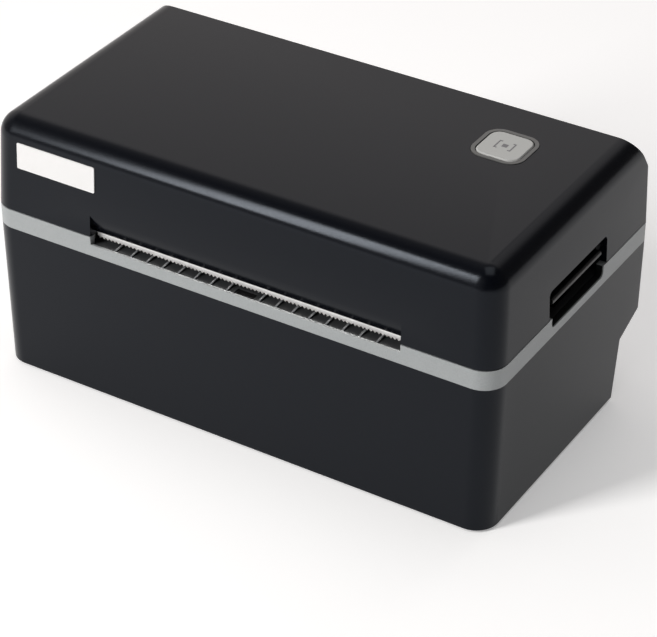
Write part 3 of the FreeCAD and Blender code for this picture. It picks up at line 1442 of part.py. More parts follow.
def tear_bar():
    """A bent steel strip along the exit whose lower edge is a row of teeth."""
    low, high = number("slot_left + fit_gap"), number("slot_right - fit_gap")
    pitch, depth = number("tooth_pitch"), number("tooth_height")
    tips = number("z_lid - bar_drop")
    count = int((high - low)/pitch)
    start = (low + high - count*pitch)/2
    points = [(high, number("z_lid")), (low, number("z_lid")), (low, tips + depth)]
    for index in range(count):
        points += [(start + index*pitch, tips + depth), (start + (index + 0.5)*pitch, tips)]
    points += [(start + count*pitch, tips + depth), (high, tips + depth)]
    strip = number("bracket_thick - leaf_thick")
    back = FreeCAD.Vector(0, number("front + wedge_depth") + strip, 0)
    feature = doc.addObject("Part::Feature", "bar_blade")
    feature.Shape = drawn(points, back, FreeCAD.Vector(1, 0, 0), FreeCAD.Vector(0, 0, 1), strip)
    flange = block("bar_flange", ("slot_left + fit_gap", "slot_right - fit_gap"),
                   ("front + wedge_depth", "front + wedge_depth + bar_thick"),
                   ("z_lid - bracket_thick + leaf_thick", "z_lid"))
    node(fuse("bar", feature, flange), "tear_bar")


# Latch levers in the side grips


def latch(name, sign):
    boss_span = ("grip_y - latch_half", "grip_y + latch_half")
    axis = (f"{sign}*pivot_x", "pivot_z")
    boss = rod(f"latch_{name}_boss", "y", axis, boss_span, "latch_boss_radius")
    plate = block(f"latch_{name}_plate", mirrored("pivot_x", "pivot_x + latch_plate", sign), boss_span,
                  ("lip_z", "pivot_z"))
    lip = rounded_prism(f"latch_{name}_lip", "XZ_Plane", mirrored("pivot_x", "side - lip_inset", sign),
                        ("lip_z", "lip_z + lip_thick"), "lip_thick/2 - fit_gap", "lip_thick/2 - fit_gap",
                        *boss_span)
    outer = "hook_in + hook_thick"
    tip = "hook_in - hook_tooth"
    hook = prism(f"latch_{name}_hook", "XZ_Plane", [
        (f"{sign}*({x})", z) for x, z in (
            (outer, "pivot_z"),
            (outer, "z_hook - hook_thick"),
            ("hook_in", "z_hook - hook_thick"),
            (tip, "z_hook + hook_tooth_height/2"),
            (tip, "z_hook + hook_tooth_height"),
            ("hook_in", "z_hook + hook_tooth_height"),
            ("hook_in", "pivot_z"),
        )
    ], "grip_y - hook_width/2", "grip_y + hook_width/2")
    bore = rod(f"latch_{name}_bore", "y", axis, boss_span, "latch_pin_radius + pin_play")
    node(cut(f"latch_{name}_solid", fuse(f"latch_{name}_body", boss, plate, lip, hook), bore),
         f"latch_{name}")


def latches():
    pins = []
    for name, sign in LATCH_SIDES:
        latch(name, sign)
        pins.append(rod(f"latch_pin_{name}", "y", (f"{sign}*pivot_x", "pivot_z"),
                        ("grip_y - lug_out", "grip_y + lug_out"), "latch_pin_radius"))
        wall_in = "side - wall - lid_side_draft"
        push = "pivot_x + latch_plate + leaf_thick/4"
        low = "z_lid + grip_height + leaf_thick"
        node(prism(f"latch_leaf_{name}", "XZ_Plane", [
            (f"{sign}*({x})", z) for x, z in (
                (wall_in, low),
                (push, f"({low} + pivot_z)/2"),
                (wall_in, "pivot_z"),
                (wall_in, "pivot_z - leaf_thick"),
                (f"{push} + leaf_thick", f"({low} + pivot_z)/2"),
                (wall_in, f"{low} + leaf_thick"),
            )
        ], "grip_y - leaf_width/2", "grip_y + leaf_width/2"), f"latch_spring_{name}")
    node(group("latch_pin_pair", *pins), "latch_pins")


# Feed button, its ring and its small board


def feed_button():
    cap = button_plan("button_cap_solid", "button_size/2", "button_round", "z_button_low",
                      "z_top + button_proud")
    crown = number("z_top + button_proud")
    soften_edges(cap, "button_cap_edge", "button_proud", lambda edge: level_at(edge, crown))
    flange = button_plan("button_cap_flange", "button_size/2 + button_flange", "button_round + button_flange",
                         "z_button_low", "z_button_low + button_flange")
    node(fuse("button_cap", cap, flange), "feed_button")
    ring = button_plan("ring_rim", "ring_size/2", "ring_round", "z_top - wall - ring_lip_thick",
                       "z_top + ring_proud")
    lip = button_plan("ring_lip_plate", "ring_size/2 + ring_lip", "ring_round + ring_lip",
                      "z_top - wall - ring_lip_thick", "z_top - wall")
    hole = button_plan("ring_hole", "button_size/2 + run_gap", "button_round + run_gap",
                       "z_top - wall - ring_lip_thick", "z_top + ring_proud")
    node(cut("ring", fuse("ring_solid", ring, lip), hole), "button_ring")
    half_length, half_width = "button_board_length/2", "button_board_width/2"
    plate = block("button_plate", (f"button_right - {half_length}", f"button_right + {half_length}"),
                  (f"button_y - {half_width}", f"button_y + {half_width}"),
                  ("z_button_board - board_thick", "z_button_board"))
    tact = block("tact_switch", ("button_right - tact_size/2", "button_right + tact_size/2"),
                 ("button_y - tact_size/2", "button_y + tact_size/2"),
                 ("z_button_board", "z_button_board + tact_height"))
    holes = [
        peg(f"button_board_hole_{index}", "z", spot, ("z_button_board - board_thick", "z_button_board"),
            "screw_radius + fit_gap")
        for index, spot in enumerate(BUTTON_POSTS)
    ]
    node(cut("button_board_solid", fuse("button_board_set", plate, tact), *holes), "button_board")
    screws("button_screws", BUTTON_POSTS, "z_button_board - board_thick", True)


# Build, check and write

for build in (lower_housing, bottom_cover, rubber_feet, middle_frame, paper_deck, sensors, platen, gear_train,
              motor_and_bracket, guide_drive, main_board, sockets, power_switch, top_cover, lid_liner,
              print_head, head_mount, tear_bar, latches, feed_button):
    build()
doc.recompute()

faults = [item.Label for item in doc.Objects if {"Invalid", "Error"} & set(item.State)]
faults += [name for name, item in NODES.items() if item.Shape.isNull() or not item.Shape.isValid()]
if faults:
    raise RuntimeError("failed: " + ", ".join(faults))

os.makedirs("parts", exist_ok=True)
for name, item in NODES.items():
    item.Shape.exportStep(f"parts/{name}.step")
    print(name, len(item.Shape.Solids), round(item.Shape.Volume, 1))
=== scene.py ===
# %% [markdown]
# A desktop label printer, dressed over its solid model. The solids already hold the
# moulded case, the silver band, the roller and the levers, so most of the work here is
# finish: each moulded plastic, metal and rubber gets its own procedural material, and a
# few thin pieces that are only looks are added on top.

# %% Load the solid model
import json
import math

import bmesh
import bpy
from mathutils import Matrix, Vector


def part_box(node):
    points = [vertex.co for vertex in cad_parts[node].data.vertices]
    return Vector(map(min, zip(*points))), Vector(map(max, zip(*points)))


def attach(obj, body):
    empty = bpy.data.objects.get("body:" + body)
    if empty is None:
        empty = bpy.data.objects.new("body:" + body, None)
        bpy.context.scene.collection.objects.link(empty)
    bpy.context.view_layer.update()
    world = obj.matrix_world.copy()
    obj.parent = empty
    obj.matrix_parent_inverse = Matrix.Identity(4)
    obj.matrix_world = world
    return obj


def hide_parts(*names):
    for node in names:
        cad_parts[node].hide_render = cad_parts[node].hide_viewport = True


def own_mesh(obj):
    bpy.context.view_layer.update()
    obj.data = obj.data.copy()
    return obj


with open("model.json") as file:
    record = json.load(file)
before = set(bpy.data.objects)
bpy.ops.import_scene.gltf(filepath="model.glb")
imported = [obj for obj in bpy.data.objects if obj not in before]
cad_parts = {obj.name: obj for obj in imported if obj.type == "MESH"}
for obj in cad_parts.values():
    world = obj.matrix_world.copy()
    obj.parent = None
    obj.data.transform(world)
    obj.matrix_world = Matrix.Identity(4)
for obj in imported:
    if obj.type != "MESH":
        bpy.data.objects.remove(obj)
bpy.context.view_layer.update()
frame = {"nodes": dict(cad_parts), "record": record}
nodes = frame["nodes"]
scene = bpy.context.scene
MM = 0.001
print("solids:", len(nodes))

# %% [markdown]
# The camera comes first, because everything is judged through it. A camera could be set by
# eye, but its place and lens were fitted to the straight edges of the case in the
# photograph, which is surer: a long lens, turned to the right of the front and looking
# down at the lid.

# %% Camera
CAMERA_PLACE = Vector((405.7, -652.1, 541.1))*MM
CAMERA_YAW = math.radians(31.669)
CAMERA_PITCH = math.radians(34.159)
camera_data = bpy.data.cameras.new("photo_lens")
camera_data.lens = 142.36
camera_data.sensor_width = 36.0
camera_data.clip_end = 20.0
camera = bpy.data.objects.new("photo_camera", camera_data)
camera.location = CAMERA_PLACE
camera.rotation_euler = (math.pi/2 - CAMERA_PITCH, 0, CAMERA_YAW)
scene.collection.objects.link(camera)
scene.camera = camera
print("camera at", tuple(round(value, 4) for value in camera.location))

# %% [markdown]
# Shader maths could be a long list of links, but it reads better as Python. A Wire holds one
# output socket, and its operators add Math nodes, also with a number on the left, as in
# 1 - mask. A Shader holds a node tree and adds any other node through a single method,
# settings first and sockets after. A Finish is the Shader of one material.


# %% Shader maths as expressions
class Wire:
    """An output socket that can stand in an expression."""

    def __init__(self, tree, socket):
        self.tree = tree
        self.socket = socket

    def math(self, operation, first, second):
        node = self.tree.nodes.new("ShaderNodeMath")
        node.operation = operation
        for slot, value in zip(node.inputs, (first, second)):
            join(self.tree, slot, value)
        return Wire(self.tree, node.outputs[0])

    def __add__(self, other):
        return self.math("ADD", self, other)

    __radd__ = __add__

    def __mul__(self, other):
        return self.math("MULTIPLY", self, other)

    __rmul__ = __mul__

    def __sub__(self, other):
        return self.math("SUBTRACT", self, other)

    def __rsub__(self, other):
        return self.math("SUBTRACT", other, self)

    def __lt__(self, other):
        return self.math("LESS_THAN", self, other)

    def __gt__(self, other):
        return self.math("GREATER_THAN", self, other)


def join(tree, slot, value):
    """Link a Wire to a socket, or set the socket to a plain value; a colour is made opaque."""
    if isinstance(value, Wire):
        tree.links.new(value.socket, slot)
    elif slot.type == "RGBA":
        slot.default_value = (*value, 1.0)
    else:
        slot.default_value = value


print("wires ready")


# %% Node trees and finishes
class Shader:
    """A shader's node tree."""

    def __init__(self, tree):
        self.tree = tree

    def node(self, kind, output, settings=None, sockets=None):
        made = self.tree.nodes.new(kind)
        for name, value in (settings or {}).items():
            setattr(made, name, value)
        for name, value in (sockets or {}).items():
            join(self.tree, made.inputs[name], value)
        return Wire(self.tree, made.outputs[output])

    def blend(self, mask, first, second):
        """A colour between two. A Mix node's colour sockets share their names, so they go by number."""
        return self.node("ShaderNodeMix", 2, {"data_type": "RGBA"}, {0: mask, 6: first, 7: second})


class Finish(Shader):
    """One material: a Principled surface and the nodes that vary it."""

    def __init__(self, name, colour, roughness, metallic=0.0):
        self.material = bpy.data.materials.new(name)
        self.material.use_nodes = True
        super().__init__(self.material.node_tree)
        self.surface = self.tree.nodes["Principled BSDF"]
        self.set("Base Color", colour)
        self.set("Roughness", roughness)
        self.set("Metallic", metallic)
        self.place = self.node("ShaderNodeTexCoord", "Object")

    def set(self, socket, value):
        join(self.tree, self.surface.inputs[socket], value)

    def noise(self, scale, detail=2.0):
        return self.node("ShaderNodeTexNoise", "Fac",
                         sockets={"Vector": self.place, "Scale": scale, "Detail": detail})

    def along(self, axis):
        return self.node("ShaderNodeSeparateXYZ", axis, sockets={"Vector": self.place})

    def vary_gloss(self, pattern, middle, spread):
        """Roughness that follows a pattern, round a middle value."""
        self.set("Roughness", pattern*spread + (middle - spread/2))

    def bump(self, height, distance):
        self.set("Normal", self.node("ShaderNodeBump", "Normal",
                                     sockets={"Height": height, "Distance": distance, "Strength": 1.0}))


def shade(colour, factor):
    return tuple(value*factor for value in colour)


print("finishes ready")

# %% [markdown]
# The case is moulded in black plastic with a fine spark-eroded grain. A photograph of
# plastic could be wrapped round it, but two noises do it at any size: a very small one
# raises the grain and breaks up the gloss, and a large faint one keeps the big faces from
# looking painted. Black plastic is seen almost only by what it mirrors, so its colour is
# near black and its gloss does the rest. The grey button is the same plastic in another
# colour, and the motor's enamel has much the same skin, so one function makes them all.

# %% Moulded plastics
GRAIN = 1600.0
GRAIN_DEPTH = 0.02*MM
GRAIN_GLOSS = 0.16
DRIFT_SIZE = 14.0


def moulded(name, colour, roughness, grain=GRAIN, depth=GRAIN_DEPTH, drift=0.12, specular=0.5,
            tint=(1.0, 1.0, 1.0)):
    finish = Finish(name, colour, roughness)
    finish.set("Specular IOR Level", specular)
    finish.set("Specular Tint", tint)
    fine = finish.noise(grain, 3.0)
    broad = finish.noise(DRIFT_SIZE)
    finish.set("Base Color", finish.blend(broad*0.6 + fine*0.4, shade(colour, 1 - drift),
                                          shade(colour, 1 + drift)))
    finish.vary_gloss(fine, roughness, GRAIN_GLOSS)
    finish.bump(fine, depth)
    return finish.material


FINISHES = {
    "case": moulded("black_case_plastic", (0.0024, 0.0029, 0.0048), 0.22, depth=0.006*MM, drift=0.15,
                    specular=0.20, tint=(0.80, 0.88, 1.0)),
    "inner_plastic": moulded("dark_liner_plastic", (0.022, 0.0225, 0.024), 0.42, specular=0.35),
    "black_plastic": moulded("black_plastic", (0.006, 0.006, 0.0065), 0.42, specular=0.3),
    "gear_plastic": moulded("natural_gear_plastic", (0.72, 0.70, 0.65), 0.4, grain=900.0,
                            depth=0.01*MM, drift=0.04),
    "lever_plastic": moulded("lever_plastic", (0.005, 0.0052, 0.0056), 0.34, specular=0.4),
    "button": moulded("grey_button_plastic", (0.46, 0.47, 0.46), 0.42, grain=1900.0,
                      depth=0.012*MM, drift=0.05),
    "ring": moulded("grey_ring_plastic", (0.105, 0.107, 0.105), 0.4, grain=1900.0,
                    depth=0.012*MM, drift=0.06),
    "motor": moulded("black_motor_enamel", (0.03, 0.03, 0.033), 0.3),
}
print("moulded finishes:", ", ".join(FINISHES))

# %% [markdown]
# Two plastics change from place to place. The silver band has fine metal flakes, and the
# walls of the openings cut through it carry painted shade in black. The exit ramp is dark,
# with its ribs paler and smoother above their foot. Both could be split into pieces with a
# finish each. A mask on the object's own coordinates keeps each solid whole, and it stays
# put in every view.

# %% Silver band and ramp with pale ribs
# Behind the band's outer skin, near a grip or a label slot and below the rim, is cut wall, which gets
# painted shade in black.
SKIN_HALF_WIDTH, SKIN_HALF_DEPTH = 99.5*MM, 54.0*MM
GRIP_REACH, SLOT_REACH, BAND_RIM = 28.0*MM, 75.0*MM, 65.4*MM
RIB_FOOT, RIB_BLUR = 62.35*MM, 0.2*MM


def flecked(name, colour, fleck_colour, wall_shade_colour, roughness):
    """Silver plastic with fine metal flakes, and painted black shade on the cut walls behind its outer skin.
    """
    finish = Finish(name, colour, roughness, 0.25)
    x, y, z = (finish.along(axis) for axis in "XYZ")
    grips = (x*x < SKIN_HALF_WIDTH**2)*(y*y < GRIP_REACH**2)
    slots = (x*x < SLOT_REACH**2)*(y*y < SKIN_HALF_DEPTH**2)
    # Painted shade: the cut walls of the grips and label slots are made black.
    shaded_walls = (grips + slots)*(z < BAND_RIM)
    flakes = finish.node("ShaderNodeTexVoronoi", "Distance",
                         sockets={"Vector": finish.place, "Scale": 2600.0})
    silver = finish.blend(flakes*0.7, fleck_colour, colour)
    finish.set("Base Color", finish.blend(shaded_walls, silver, wall_shade_colour))
    fine = finish.noise(1800.0)
    finish.vary_gloss(fine, roughness, 0.14)
    finish.bump(fine, 0.012*MM)
    return finish.material


def pale_topped(name, colour, rib_top_colour, roughness):
    """Plastic that is paler and a little smoother above the foot of its ribs."""
    finish = Finish(name, colour, roughness)
    finish.set("Specular IOR Level", 0.35)
    fine = finish.noise(GRAIN, 3.0)
    # Above the foot of the ribs the colour turns paler and the gloss a little higher.
    rib_top_mask = finish.node("ShaderNodeMapRange", "Result", sockets={
        "Value": finish.along("Z"), "From Min": RIB_FOOT, "From Max": RIB_FOOT + RIB_BLUR})
    finish.set("Base Color", finish.blend(rib_top_mask*(fine*0.5 + 0.6), colour, rib_top_colour))
    finish.set("Roughness", fine*GRAIN_GLOSS + (roughness - GRAIN_GLOSS/2) - rib_top_mask*0.1)
    finish.bump(fine, GRAIN_DEPTH)
    return finish.material


# The last colour is the painted shade on the band's cut walls.
FINISHES["band"] = flecked("silver_band_plastic", (0.29, 0.312, 0.318), (0.38, 0.40, 0.407),
                           (0.006, 0.0065, 0.007), 0.38)
pale_rib_ramp = pale_topped("pale_rib_ramp_plastic", (0.040, 0.042, 0.045), (0.22, 0.23, 0.24), 0.42)
print("masked plastics:", FINISHES["band"].name, pale_rib_ramp.name)

# %% [markdown]
# Metal parts are drawn or rolled, so their grain runs one way. An anisotropic shader could
# stretch their highlights, but it draws no lines. A noise stretched along X does, and it
# only moves the roughness and a very shallow bump. Rubber is dull and dusty, the print head
# is glazed, and the boards show copper tracks under green lacquer.

# %% Metals, rubber, ceramic and boards
BRUSH_STRETCH = (40.0, 1800.0, 1800.0)


def brushed(name, colour, roughness):
    finish = Finish(name, colour, roughness, 1.0)
    stretched = finish.node("ShaderNodeMapping", "Vector",
                            sockets={"Vector": finish.place, "Scale": BRUSH_STRETCH})
    lines = finish.node("ShaderNodeTexNoise", "Fac",
                        sockets={"Vector": stretched, "Scale": 1.0, "Detail": 3.0})
    finish.vary_gloss(lines, roughness, 0.22)
    finish.bump(lines, 0.008*MM)
    return finish.material


def rubbery(name, colour, roughness):
    finish = Finish(name, colour, roughness)
    dust = finish.noise(60.0, 4.0)
    finish.set("Base Color", finish.blend(dust, colour, shade(colour, 1.8)))
    finish.vary_gloss(dust, roughness, 0.2)
    finish.bump(finish.noise(2400.0), 0.03*MM)
    return finish.material


def glazed(name, colour, roughness):
    finish = Finish(name, colour, roughness)
    speck = finish.noise(500.0, 3.0)
    finish.set("Base Color", finish.blend(speck, colour, shade(colour, 0.8)))
    finish.vary_gloss(speck, roughness, 0.1)
    return finish.material


def solder_mask(name, colour, track_colour, roughness):
    """Green board lacquer with copper tracks shining through."""
    finish = Finish(name, colour, roughness)
    cells = finish.node("ShaderNodeTexVoronoi", "Distance", {"feature": "DISTANCE_TO_EDGE"},
                        {"Vector": finish.place, "Scale": 260.0})
    tracks = finish.node("ShaderNodeMapRange", "Result",
                         sockets={"Value": cells, "From Min": 0.04, "From Max": 0.07})
    finish.set("Base Color", finish.blend(tracks, track_colour, colour))
    finish.bump(tracks, 0.02*MM)
    return finish.material


FINISHES.update({
    "steel": brushed("brushed_steel", (0.60, 0.60, 0.61), 0.32),
    "sink": brushed("extruded_aluminium", (0.72, 0.72, 0.74), 0.36),
    "rubber": rubbery("black_rubber", (0.022, 0.022, 0.022), 0.75),
    "ceramic": glazed("print_head_glaze", (0.52, 0.47, 0.39), 0.2),
    "board": solder_mask("board_lacquer", (0.02, 0.13, 0.05), (0.07, 0.22, 0.08), 0.3),
})
bright_blade = brushed("bright_blade_steel", (0.93, 0.92, 0.91), 0.42)
print("finishes:", len(FINISHES))

# %% [markdown]
# The solids arrive as loose flat triangles, which would make the rounded lid look faceted.
# Their meshes could be cleaned by hand, but they are the solid model and stay as they are.
# A short Geometry Nodes tree merges the triangles and shades every edge smooth unless the
# two faces meet at a clear angle, so that the rounded lid shows soft highlights while the
# parting lines stay crisp. It stays on each solid as a modifier.


# %% Soft shading of the solids
def shading_tree(sharp_angle, merge_gap):
    tree = bpy.data.node_groups.new("soft_rounds", "GeometryNodeTree")
    tree.interface.new_socket("Geometry", in_out="INPUT", socket_type="NodeSocketGeometry")
    angle = tree.interface.new_socket("Sharp Angle", in_out="INPUT", socket_type="NodeSocketFloat")
    angle.default_value = sharp_angle
    tree.interface.new_socket("Geometry", in_out="OUTPUT", socket_type="NodeSocketGeometry")
    add, link = tree.nodes.new, tree.links.new
    start, end = add("NodeGroupInput"), add("NodeGroupOutput")
    merge = add("GeometryNodeMergeByDistance")
    merge.inputs["Distance"].default_value = merge_gap
    smooth = add("GeometryNodeSetShadeSmooth")
    smooth.domain = "FACE"
    crisp = add("GeometryNodeSetShadeSmooth")
    crisp.domain = "EDGE"
    crisp.inputs["Shade Smooth"].default_value = False
    edge_angle = add("GeometryNodeInputMeshEdgeAngle")
    sharper = add("FunctionNodeCompare")
    sharper.operation = "GREATER_THAN"
    link(start.outputs["Geometry"], merge.inputs["Geometry"])
    link(merge.outputs["Geometry"], smooth.inputs["Geometry"])
    link(smooth.outputs["Geometry"], crisp.inputs["Geometry"])
    link(edge_angle.outputs["Unsigned Angle"], sharper.inputs[0])
    link(start.outputs["Sharp Angle"], sharper.inputs[1])
    link(sharper.outputs["Result"], crisp.inputs["Selection"])
    link(crisp.outputs["Geometry"], end.inputs["Geometry"])
    return tree


soft_rounds = shading_tree(sharp_angle=math.radians(32), merge_gap=0.005*MM)
slot_of = {part["node"]: part["material_slot"] for part in frame["record"]["subparts"]}
OWN_FINISH = {"paper_deck": pale_rib_ramp, "tear_bar": bright_blade}
for name, solid in nodes.items():
    solid.data.materials.clear()
    solid.data.materials.append(OWN_FINISH.get(name) or FINISHES[slot_of[name]])
    solid.modifiers.new("soft_rounds", "NODES").node_group = soft_rounds
print("dressed solids:", len(nodes))

# %% [markdown]
# The lid's front carries a small bare white plate. A flat box would do on an upright wall,
# but this face leans back, so the plate is a thin rounded tile whose corners are worked out
# along the slope. The same function makes any other flat tile from its outline.


# %% Thin tiles
def rounded_outline(left, right, low, high, radius, steps=6):
    """Corner points of a rounded rectangle, anticlockwise."""
    points = []
    for across, up, start in ((right, low, -90), (right, high, 0), (left, high, 90), (left, low, 180)):
        middle_x = across - radius if across == right else across + radius
        middle_y = up - radius if up == high else up + radius
        for step in range(steps + 1):
            angle = math.radians(start + 90*step/steps)
            points.append((middle_x + radius*math.cos(angle), middle_y + radius*math.sin(angle)))
    return points


SUNK = 0.05


def tile(name, outlines, place, thick, body, finish):
    """Thin tiles, sunk a little: sizes in millimetres, put in space by a function of (x, y, height)."""
    shape = bmesh.new()
    for outline in outlines:
        foot = [shape.verts.new(place(x*MM, y*MM, -SUNK*MM)) for x, y in outline]
        head = [shape.verts.new(place(x*MM, y*MM, thick*MM)) for x, y in outline]
        shape.faces.new(head)
        shape.faces.new(list(reversed(foot)))
        count = len(outline)
        for index in range(count):
            following = (index + 1) % count
            shape.faces.new((foot[index], foot[following], head[following], head[index]))
    bmesh.ops.recalc_face_normals(shape, faces=shape.faces)
    mesh = bpy.data.meshes.new(name)
    shape.to_mesh(mesh)
    shape.free()
    mesh.materials.append(finish)
    piece = bpy.data.objects.new(name, mesh)
    scene.collection.objects.link(piece)
    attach(piece, body)
    return piece


print("tiles ready")

# %% Plate on the lid's front
LID_LOW = Vector((0, -56.5, 66.0))*MM
LID_HIGH = Vector((0, -54.3, 100.6))*MM
UP_SLOPE = (LID_HIGH - LID_LOW).normalized()
OUTWARD = Vector((0, -UP_SLOPE.z, UP_SLOPE.y))
PLATE_THICK = 0.35


def on_lid_front(x, up, height):
    return LID_LOW + UP_SLOPE*up + OUTWARD*height + Vector((x, 0, 0))


plate_outline = rounded_outline(left=-87.6, right=-55.2, low=17.4, high=27.1, radius=0.5)
white_tile = moulded("white_plate_plastic", (0.80, 0.80, 0.80), 0.4, grain=1200.0, depth=0.01*MM, drift=0.02)
plate = tile("lid_plate", [plate_outline], on_lid_front, PLATE_THICK, "lid", white_tile)
print("plate faces:", len(plate.data.polygons))

# %% [markdown]
# The button cap shows a faint sign for feeding: two brackets round a small square. A
# pattern in the cap's material could draw it, but tiles keep its edges sharp. They are very
# low and a shade darker than the cap, so the sign reads as printed.

# %% Feed sign on the button
low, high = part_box("feed_button")
SIGN_X, SIGN_Y = (low.x + high.x)/2/MM, (low.y + high.y)/2/MM
CAP_TOP = high.z
STROKE = 0.5
SQUARE_HALF = 1.0
BRACKET_OUT, BRACKET_HALF, HOOK_END = 3.2, 2.6, 2.0
SIGN_THICK = 0.04


def on_cap(x, y, height):
    return Vector((x, y, CAP_TOP + height))


def bar(x0, x1, y0, y1):
    return [(SIGN_X + x, SIGN_Y + y) for x, y in ((x0, y0), (x1, y0), (x1, y1), (x0, y1))]


sign = [bar(-SQUARE_HALF, SQUARE_HALF, -SQUARE_HALF, SQUARE_HALF)]
for side in (-1, 1):
    inner = side*(BRACKET_OUT - STROKE)
    upright = sorted((side*BRACKET_OUT, inner))
    hook = sorted((inner, side*HOOK_END))
    sign.append(bar(*upright, -BRACKET_HALF, BRACKET_HALF))
    sign.append(bar(*hook, BRACKET_HALF - STROKE, BRACKET_HALF))
    sign.append(bar(*hook, -BRACKET_HALF, STROKE - BRACKET_HALF))
sign_ink = moulded("sign_print", (0.17, 0.17, 0.18), 0.5, grain=1200.0, depth=0.004*MM, drift=0.05)
feed_sign = tile("feed_sign", sign, on_cap, SIGN_THICK, "button", sign_ink)
print("sign strokes:", len(sign), "faces:", len(feed_sign.data.polygons))

# %% [markdown]
# Every screw head has a cross recess. Each could be cut into its solid, at the cost of many
# small faces. One Geometry Nodes tree puts the same small black cross on each head instead,
# as painted shade where the recess is: points mark the heads, an instance of two crossed bars
# goes on every point, and the result is realized so that it can ride as a plain mesh.


# %% Tree of the painted shade crosses
def cross_tree(finish):
    tree = bpy.data.node_groups.new("screw_recess_shades", "GeometryNodeTree")
    tree.interface.new_socket("Geometry", in_out="INPUT", socket_type="NodeSocketGeometry")
    sizes = {}
    for label in ("Arm Length", "Arm Width", "Relief"):
        sizes[label] = tree.interface.new_socket(label, in_out="INPUT", socket_type="NodeSocketFloat")
    tree.interface.new_socket("Geometry", in_out="OUTPUT", socket_type="NodeSocketGeometry")
    add, link = tree.nodes.new, tree.links.new
    start, end = add("NodeGroupInput"), add("NodeGroupOutput")
    cross = add("GeometryNodeJoinGeometry")
    for order in (("Arm Length", "Arm Width"), ("Arm Width", "Arm Length")):
        size = add("ShaderNodeCombineXYZ")
        for axis, label in zip("XYZ", (*order, "Relief")):
            link(start.outputs[label], size.inputs[axis])
        arm = add("GeometryNodeMeshCube")
        link(size.outputs[0], arm.inputs["Size"])
        link(arm.outputs["Mesh"], cross.inputs[0])
    spread = add("GeometryNodeInstanceOnPoints")
    link(start.outputs["Geometry"], spread.inputs["Points"])
    link(cross.outputs[0], spread.inputs["Instance"])
    plain = add("GeometryNodeRealizeInstances")
    paint = add("GeometryNodeSetMaterial")
    paint.inputs["Material"].default_value = finish
    link(spread.outputs[0], plain.inputs[0])
    link(plain.outputs[0], paint.inputs["Geometry"])
    link(paint.outputs[0], end.inputs["Geometry"])
    return tree, {label: socket.identifier for label, socket in sizes.items()}


# The crosses take the black plastic: painted shade where each screw's recess is.
recess_shades, cross_inputs = cross_tree(FINISHES["black_plastic"])
print("cross inputs:", ", ".join(cross_inputs))

# %% Painted shade of the screws' cross recesses
HEAD_RADIUS = 2.7*MM
CROSS_SIZES = {"Arm Length": 2.6*MM, "Arm Width": 0.6*MM, "Relief": 0.08*MM}


def screw_recess_shades(node, body, level):
    """Black crosses of painted recess shade on the heads of a node's screws, which stand at the corners of
    its box.
    """
    low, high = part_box(node)
    columns = sorted({low.x + HEAD_RADIUS, high.x - HEAD_RADIUS})
    rows = sorted({round(low.y + HEAD_RADIUS, 6), round(high.y - HEAD_RADIUS, 6)})
    marks = bpy.data.meshes.new(node + "_marks")
    marks.from_pydata([(x, y, level) for x in columns for y in rows], [], [])
    holder = bpy.data.objects.new(node + "_marks", marks)
    scene.collection.objects.link(holder)
    modifier = holder.modifiers.new("recess_shades", "NODES")
    modifier.node_group = recess_shades
    for label, value in CROSS_SIZES.items():
        modifier[cross_inputs[label]] = value
    graph = bpy.context.evaluated_depsgraph_get()
    mesh = bpy.data.meshes.new_from_object(holder.evaluated_get(graph))
    bpy.data.objects.remove(holder)
    piece = bpy.data.objects.new(node + "_crosses", mesh)
    scene.collection.objects.link(piece)
    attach(piece, body)
    return piece


for node, body, top in (("bottom_screws", "base", False), ("deck_screws", "base", True),
                        ("liner_screws", "lid", False)):
    low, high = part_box(node)
    made = screw_recess_shades(node, body, high.z if top else low.z)
    print(made.name, len(made.data.polygons))

# %% [markdown]
# The leaf springs in the lid give way when the print head lifts or a latch turns. As rigid
# solids they would be cut by the piece that presses them. A merged copy of each stands in
# for it.

# %% Stand-in copies of the springs
HEAD_TRAVEL, LATCH_TRAVEL = 1.0*MM, 1.2*MM


def giving_spring(node):
    """A merged copy of a spring's solid, which stands on the lid in place of the hidden solid."""
    graph = bpy.context.evaluated_depsgraph_get()
    mesh = bpy.data.meshes.new_from_object(nodes[node].evaluated_get(graph))
    piece = bpy.data.objects.new(node + "_leaf", mesh)
    scene.collection.objects.link(piece)
    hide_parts(node)
    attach(piece, "lid")
    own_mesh(piece)
    return piece


for node, joint, axis, travel in (("head_springs", "head_lift", (0, 0, 1), HEAD_TRAVEL),
                                  ("latch_spring_left", "latch_left_turn", (-1, 0, 0), LATCH_TRAVEL),
                                  ("latch_spring_right", "latch_right_turn", (1, 0, 0), LATCH_TRAVEL)):
    print(giving_spring(node).name)

# %% [markdown]
# The photograph is a plain studio shot on white, so the printer stands on a wide pale floor
# that takes its soft shadow. The floor is matt, because a glossy one would mirror the front
# lamp into the case. More light could make it white, but that would wash out the printer:
# the paper glows a little instead, seen only by the camera and in shiny or clear pieces.

# %% Floor
REACH = 6.0
PAPER_GLOW = (0.30, 0.30, 0.30)
floor_mesh = bpy.data.meshes.new("studio_floor")
floor_mesh.from_pydata([(-REACH, -REACH, 0), (REACH, -REACH, 0), (REACH, REACH, 0), (-REACH, REACH, 0)],
                       [], [(0, 1, 2, 3)])
floor = bpy.data.objects.new("studio_floor", floor_mesh)
scene.collection.objects.link(floor)
paper = Finish("white_paper", (0.93, 0.93, 0.935), 0.9)
paper.set("Specular IOR Level", 0.1)
seen, mirrored, through = (paper.node("ShaderNodeLightPath", f"Is {kind} Ray")
                           for kind in ("Camera", "Glossy", "Transmission"))
paper.set("Emission Strength", 1.0)
paper.set("Emission Color", paper.blend(seen + mirrored + through, (0, 0, 0), PAPER_GLOW))
floor_mesh.materials.append(paper.material)
print("floor:", 2*REACH, "m wide")

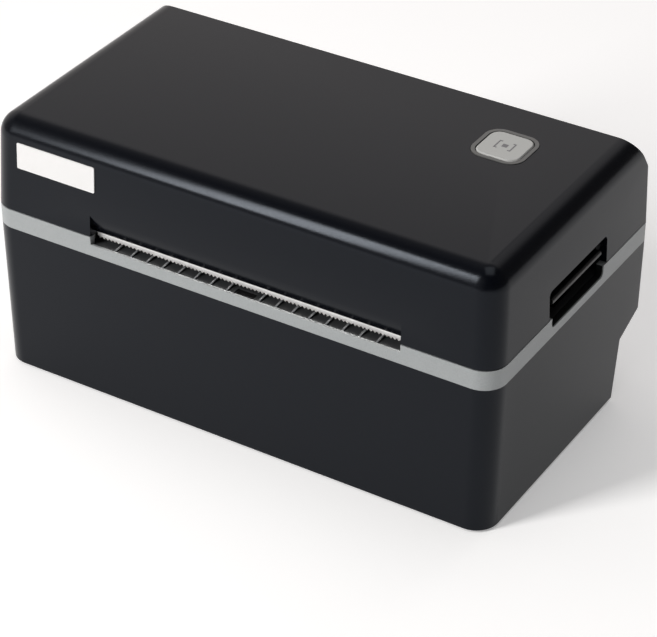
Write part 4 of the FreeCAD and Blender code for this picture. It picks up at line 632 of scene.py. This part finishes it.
# %% [markdown]
# Two soft boxes light the printer. A tall narrow one stands at the front left, where the
# rounded front edge of the lid mirrors it as one bright line, and a large one hangs above
# and fills the shadows. A sun lamp would give that line too, but with hard shadows.


# %% Lamps
def lamp(name, place, aim, width, height, power, colour):
    data = bpy.data.lights.new(name, "AREA")
    data.shape = "RECTANGLE"
    data.size, data.size_y = width, height
    data.energy = power
    data.color = colour
    lamp_object = bpy.data.objects.new(name, data)
    lamp_object.location = place
    lamp_object.rotation_euler = (Vector(aim) - Vector(place)).to_track_quat("-Z", "Y").to_euler()
    scene.collection.objects.link(lamp_object)


LID_EDGE = (0.0, -0.05, 0.09)
MIDDLE = (0.0, 0.0, 0.05)
lamp("front_box", (-0.60, -1.08, 0.84), LID_EDGE, width=0.31, height=0.9, power=16.5,
     colour=(1.0, 0.985, 0.965))
lamp("top_box", (0.3, 0.2, 2.2), MIDDLE, width=1.6, height=1.2, power=8.5, colour=(1.0, 1.0, 1.0))

# %% [markdown]
# Black plastic shows the room around it. An even white room would turn every face the same
# grey, so the room is bright only low behind the printer and on its left, where the flat
# top mirrors it, and it fades overhead, to the right and to the front. That leaves the
# rounded edge on the right dark, as in the photograph.

# %% Room
ROOM_STRENGTH = 0.95
world = bpy.data.worlds.new("studio_world")
world.use_nodes = True
scene.world = world
room = Shader(world.node_tree)
sky = world.node_tree.nodes["Background"]
look = room.node("ShaderNodeTexCoord", "Generated")


def fade(axis, start, end, low):
    """Full strength up to one height or side of the room, falling to a lower one."""
    side = room.node("ShaderNodeSeparateXYZ", axis, sockets={"Vector": look})
    return room.node("ShaderNodeMapRange", "Result", {"interpolation_type": "SMOOTHSTEP"},
                     {"Value": side, "From Min": start, "From Max": end, "To Min": 1.0, "To Max": low})


overhead = fade("Z", start=0.62, end=0.88, low=0.25)
right = fade("X", start=0.0, end=0.35, low=0.12)
front = fade("Y", start=0.2, end=-0.3, low=0.4)
join(room.tree, sky.inputs["Strength"], overhead*right*front*ROOM_STRENGTH)
join(room.tree, sky.inputs["Color"], (1.0, 0.945, 0.92))
scene.view_settings.view_transform = "Standard"
print("room nodes:", len(room.tree.nodes))
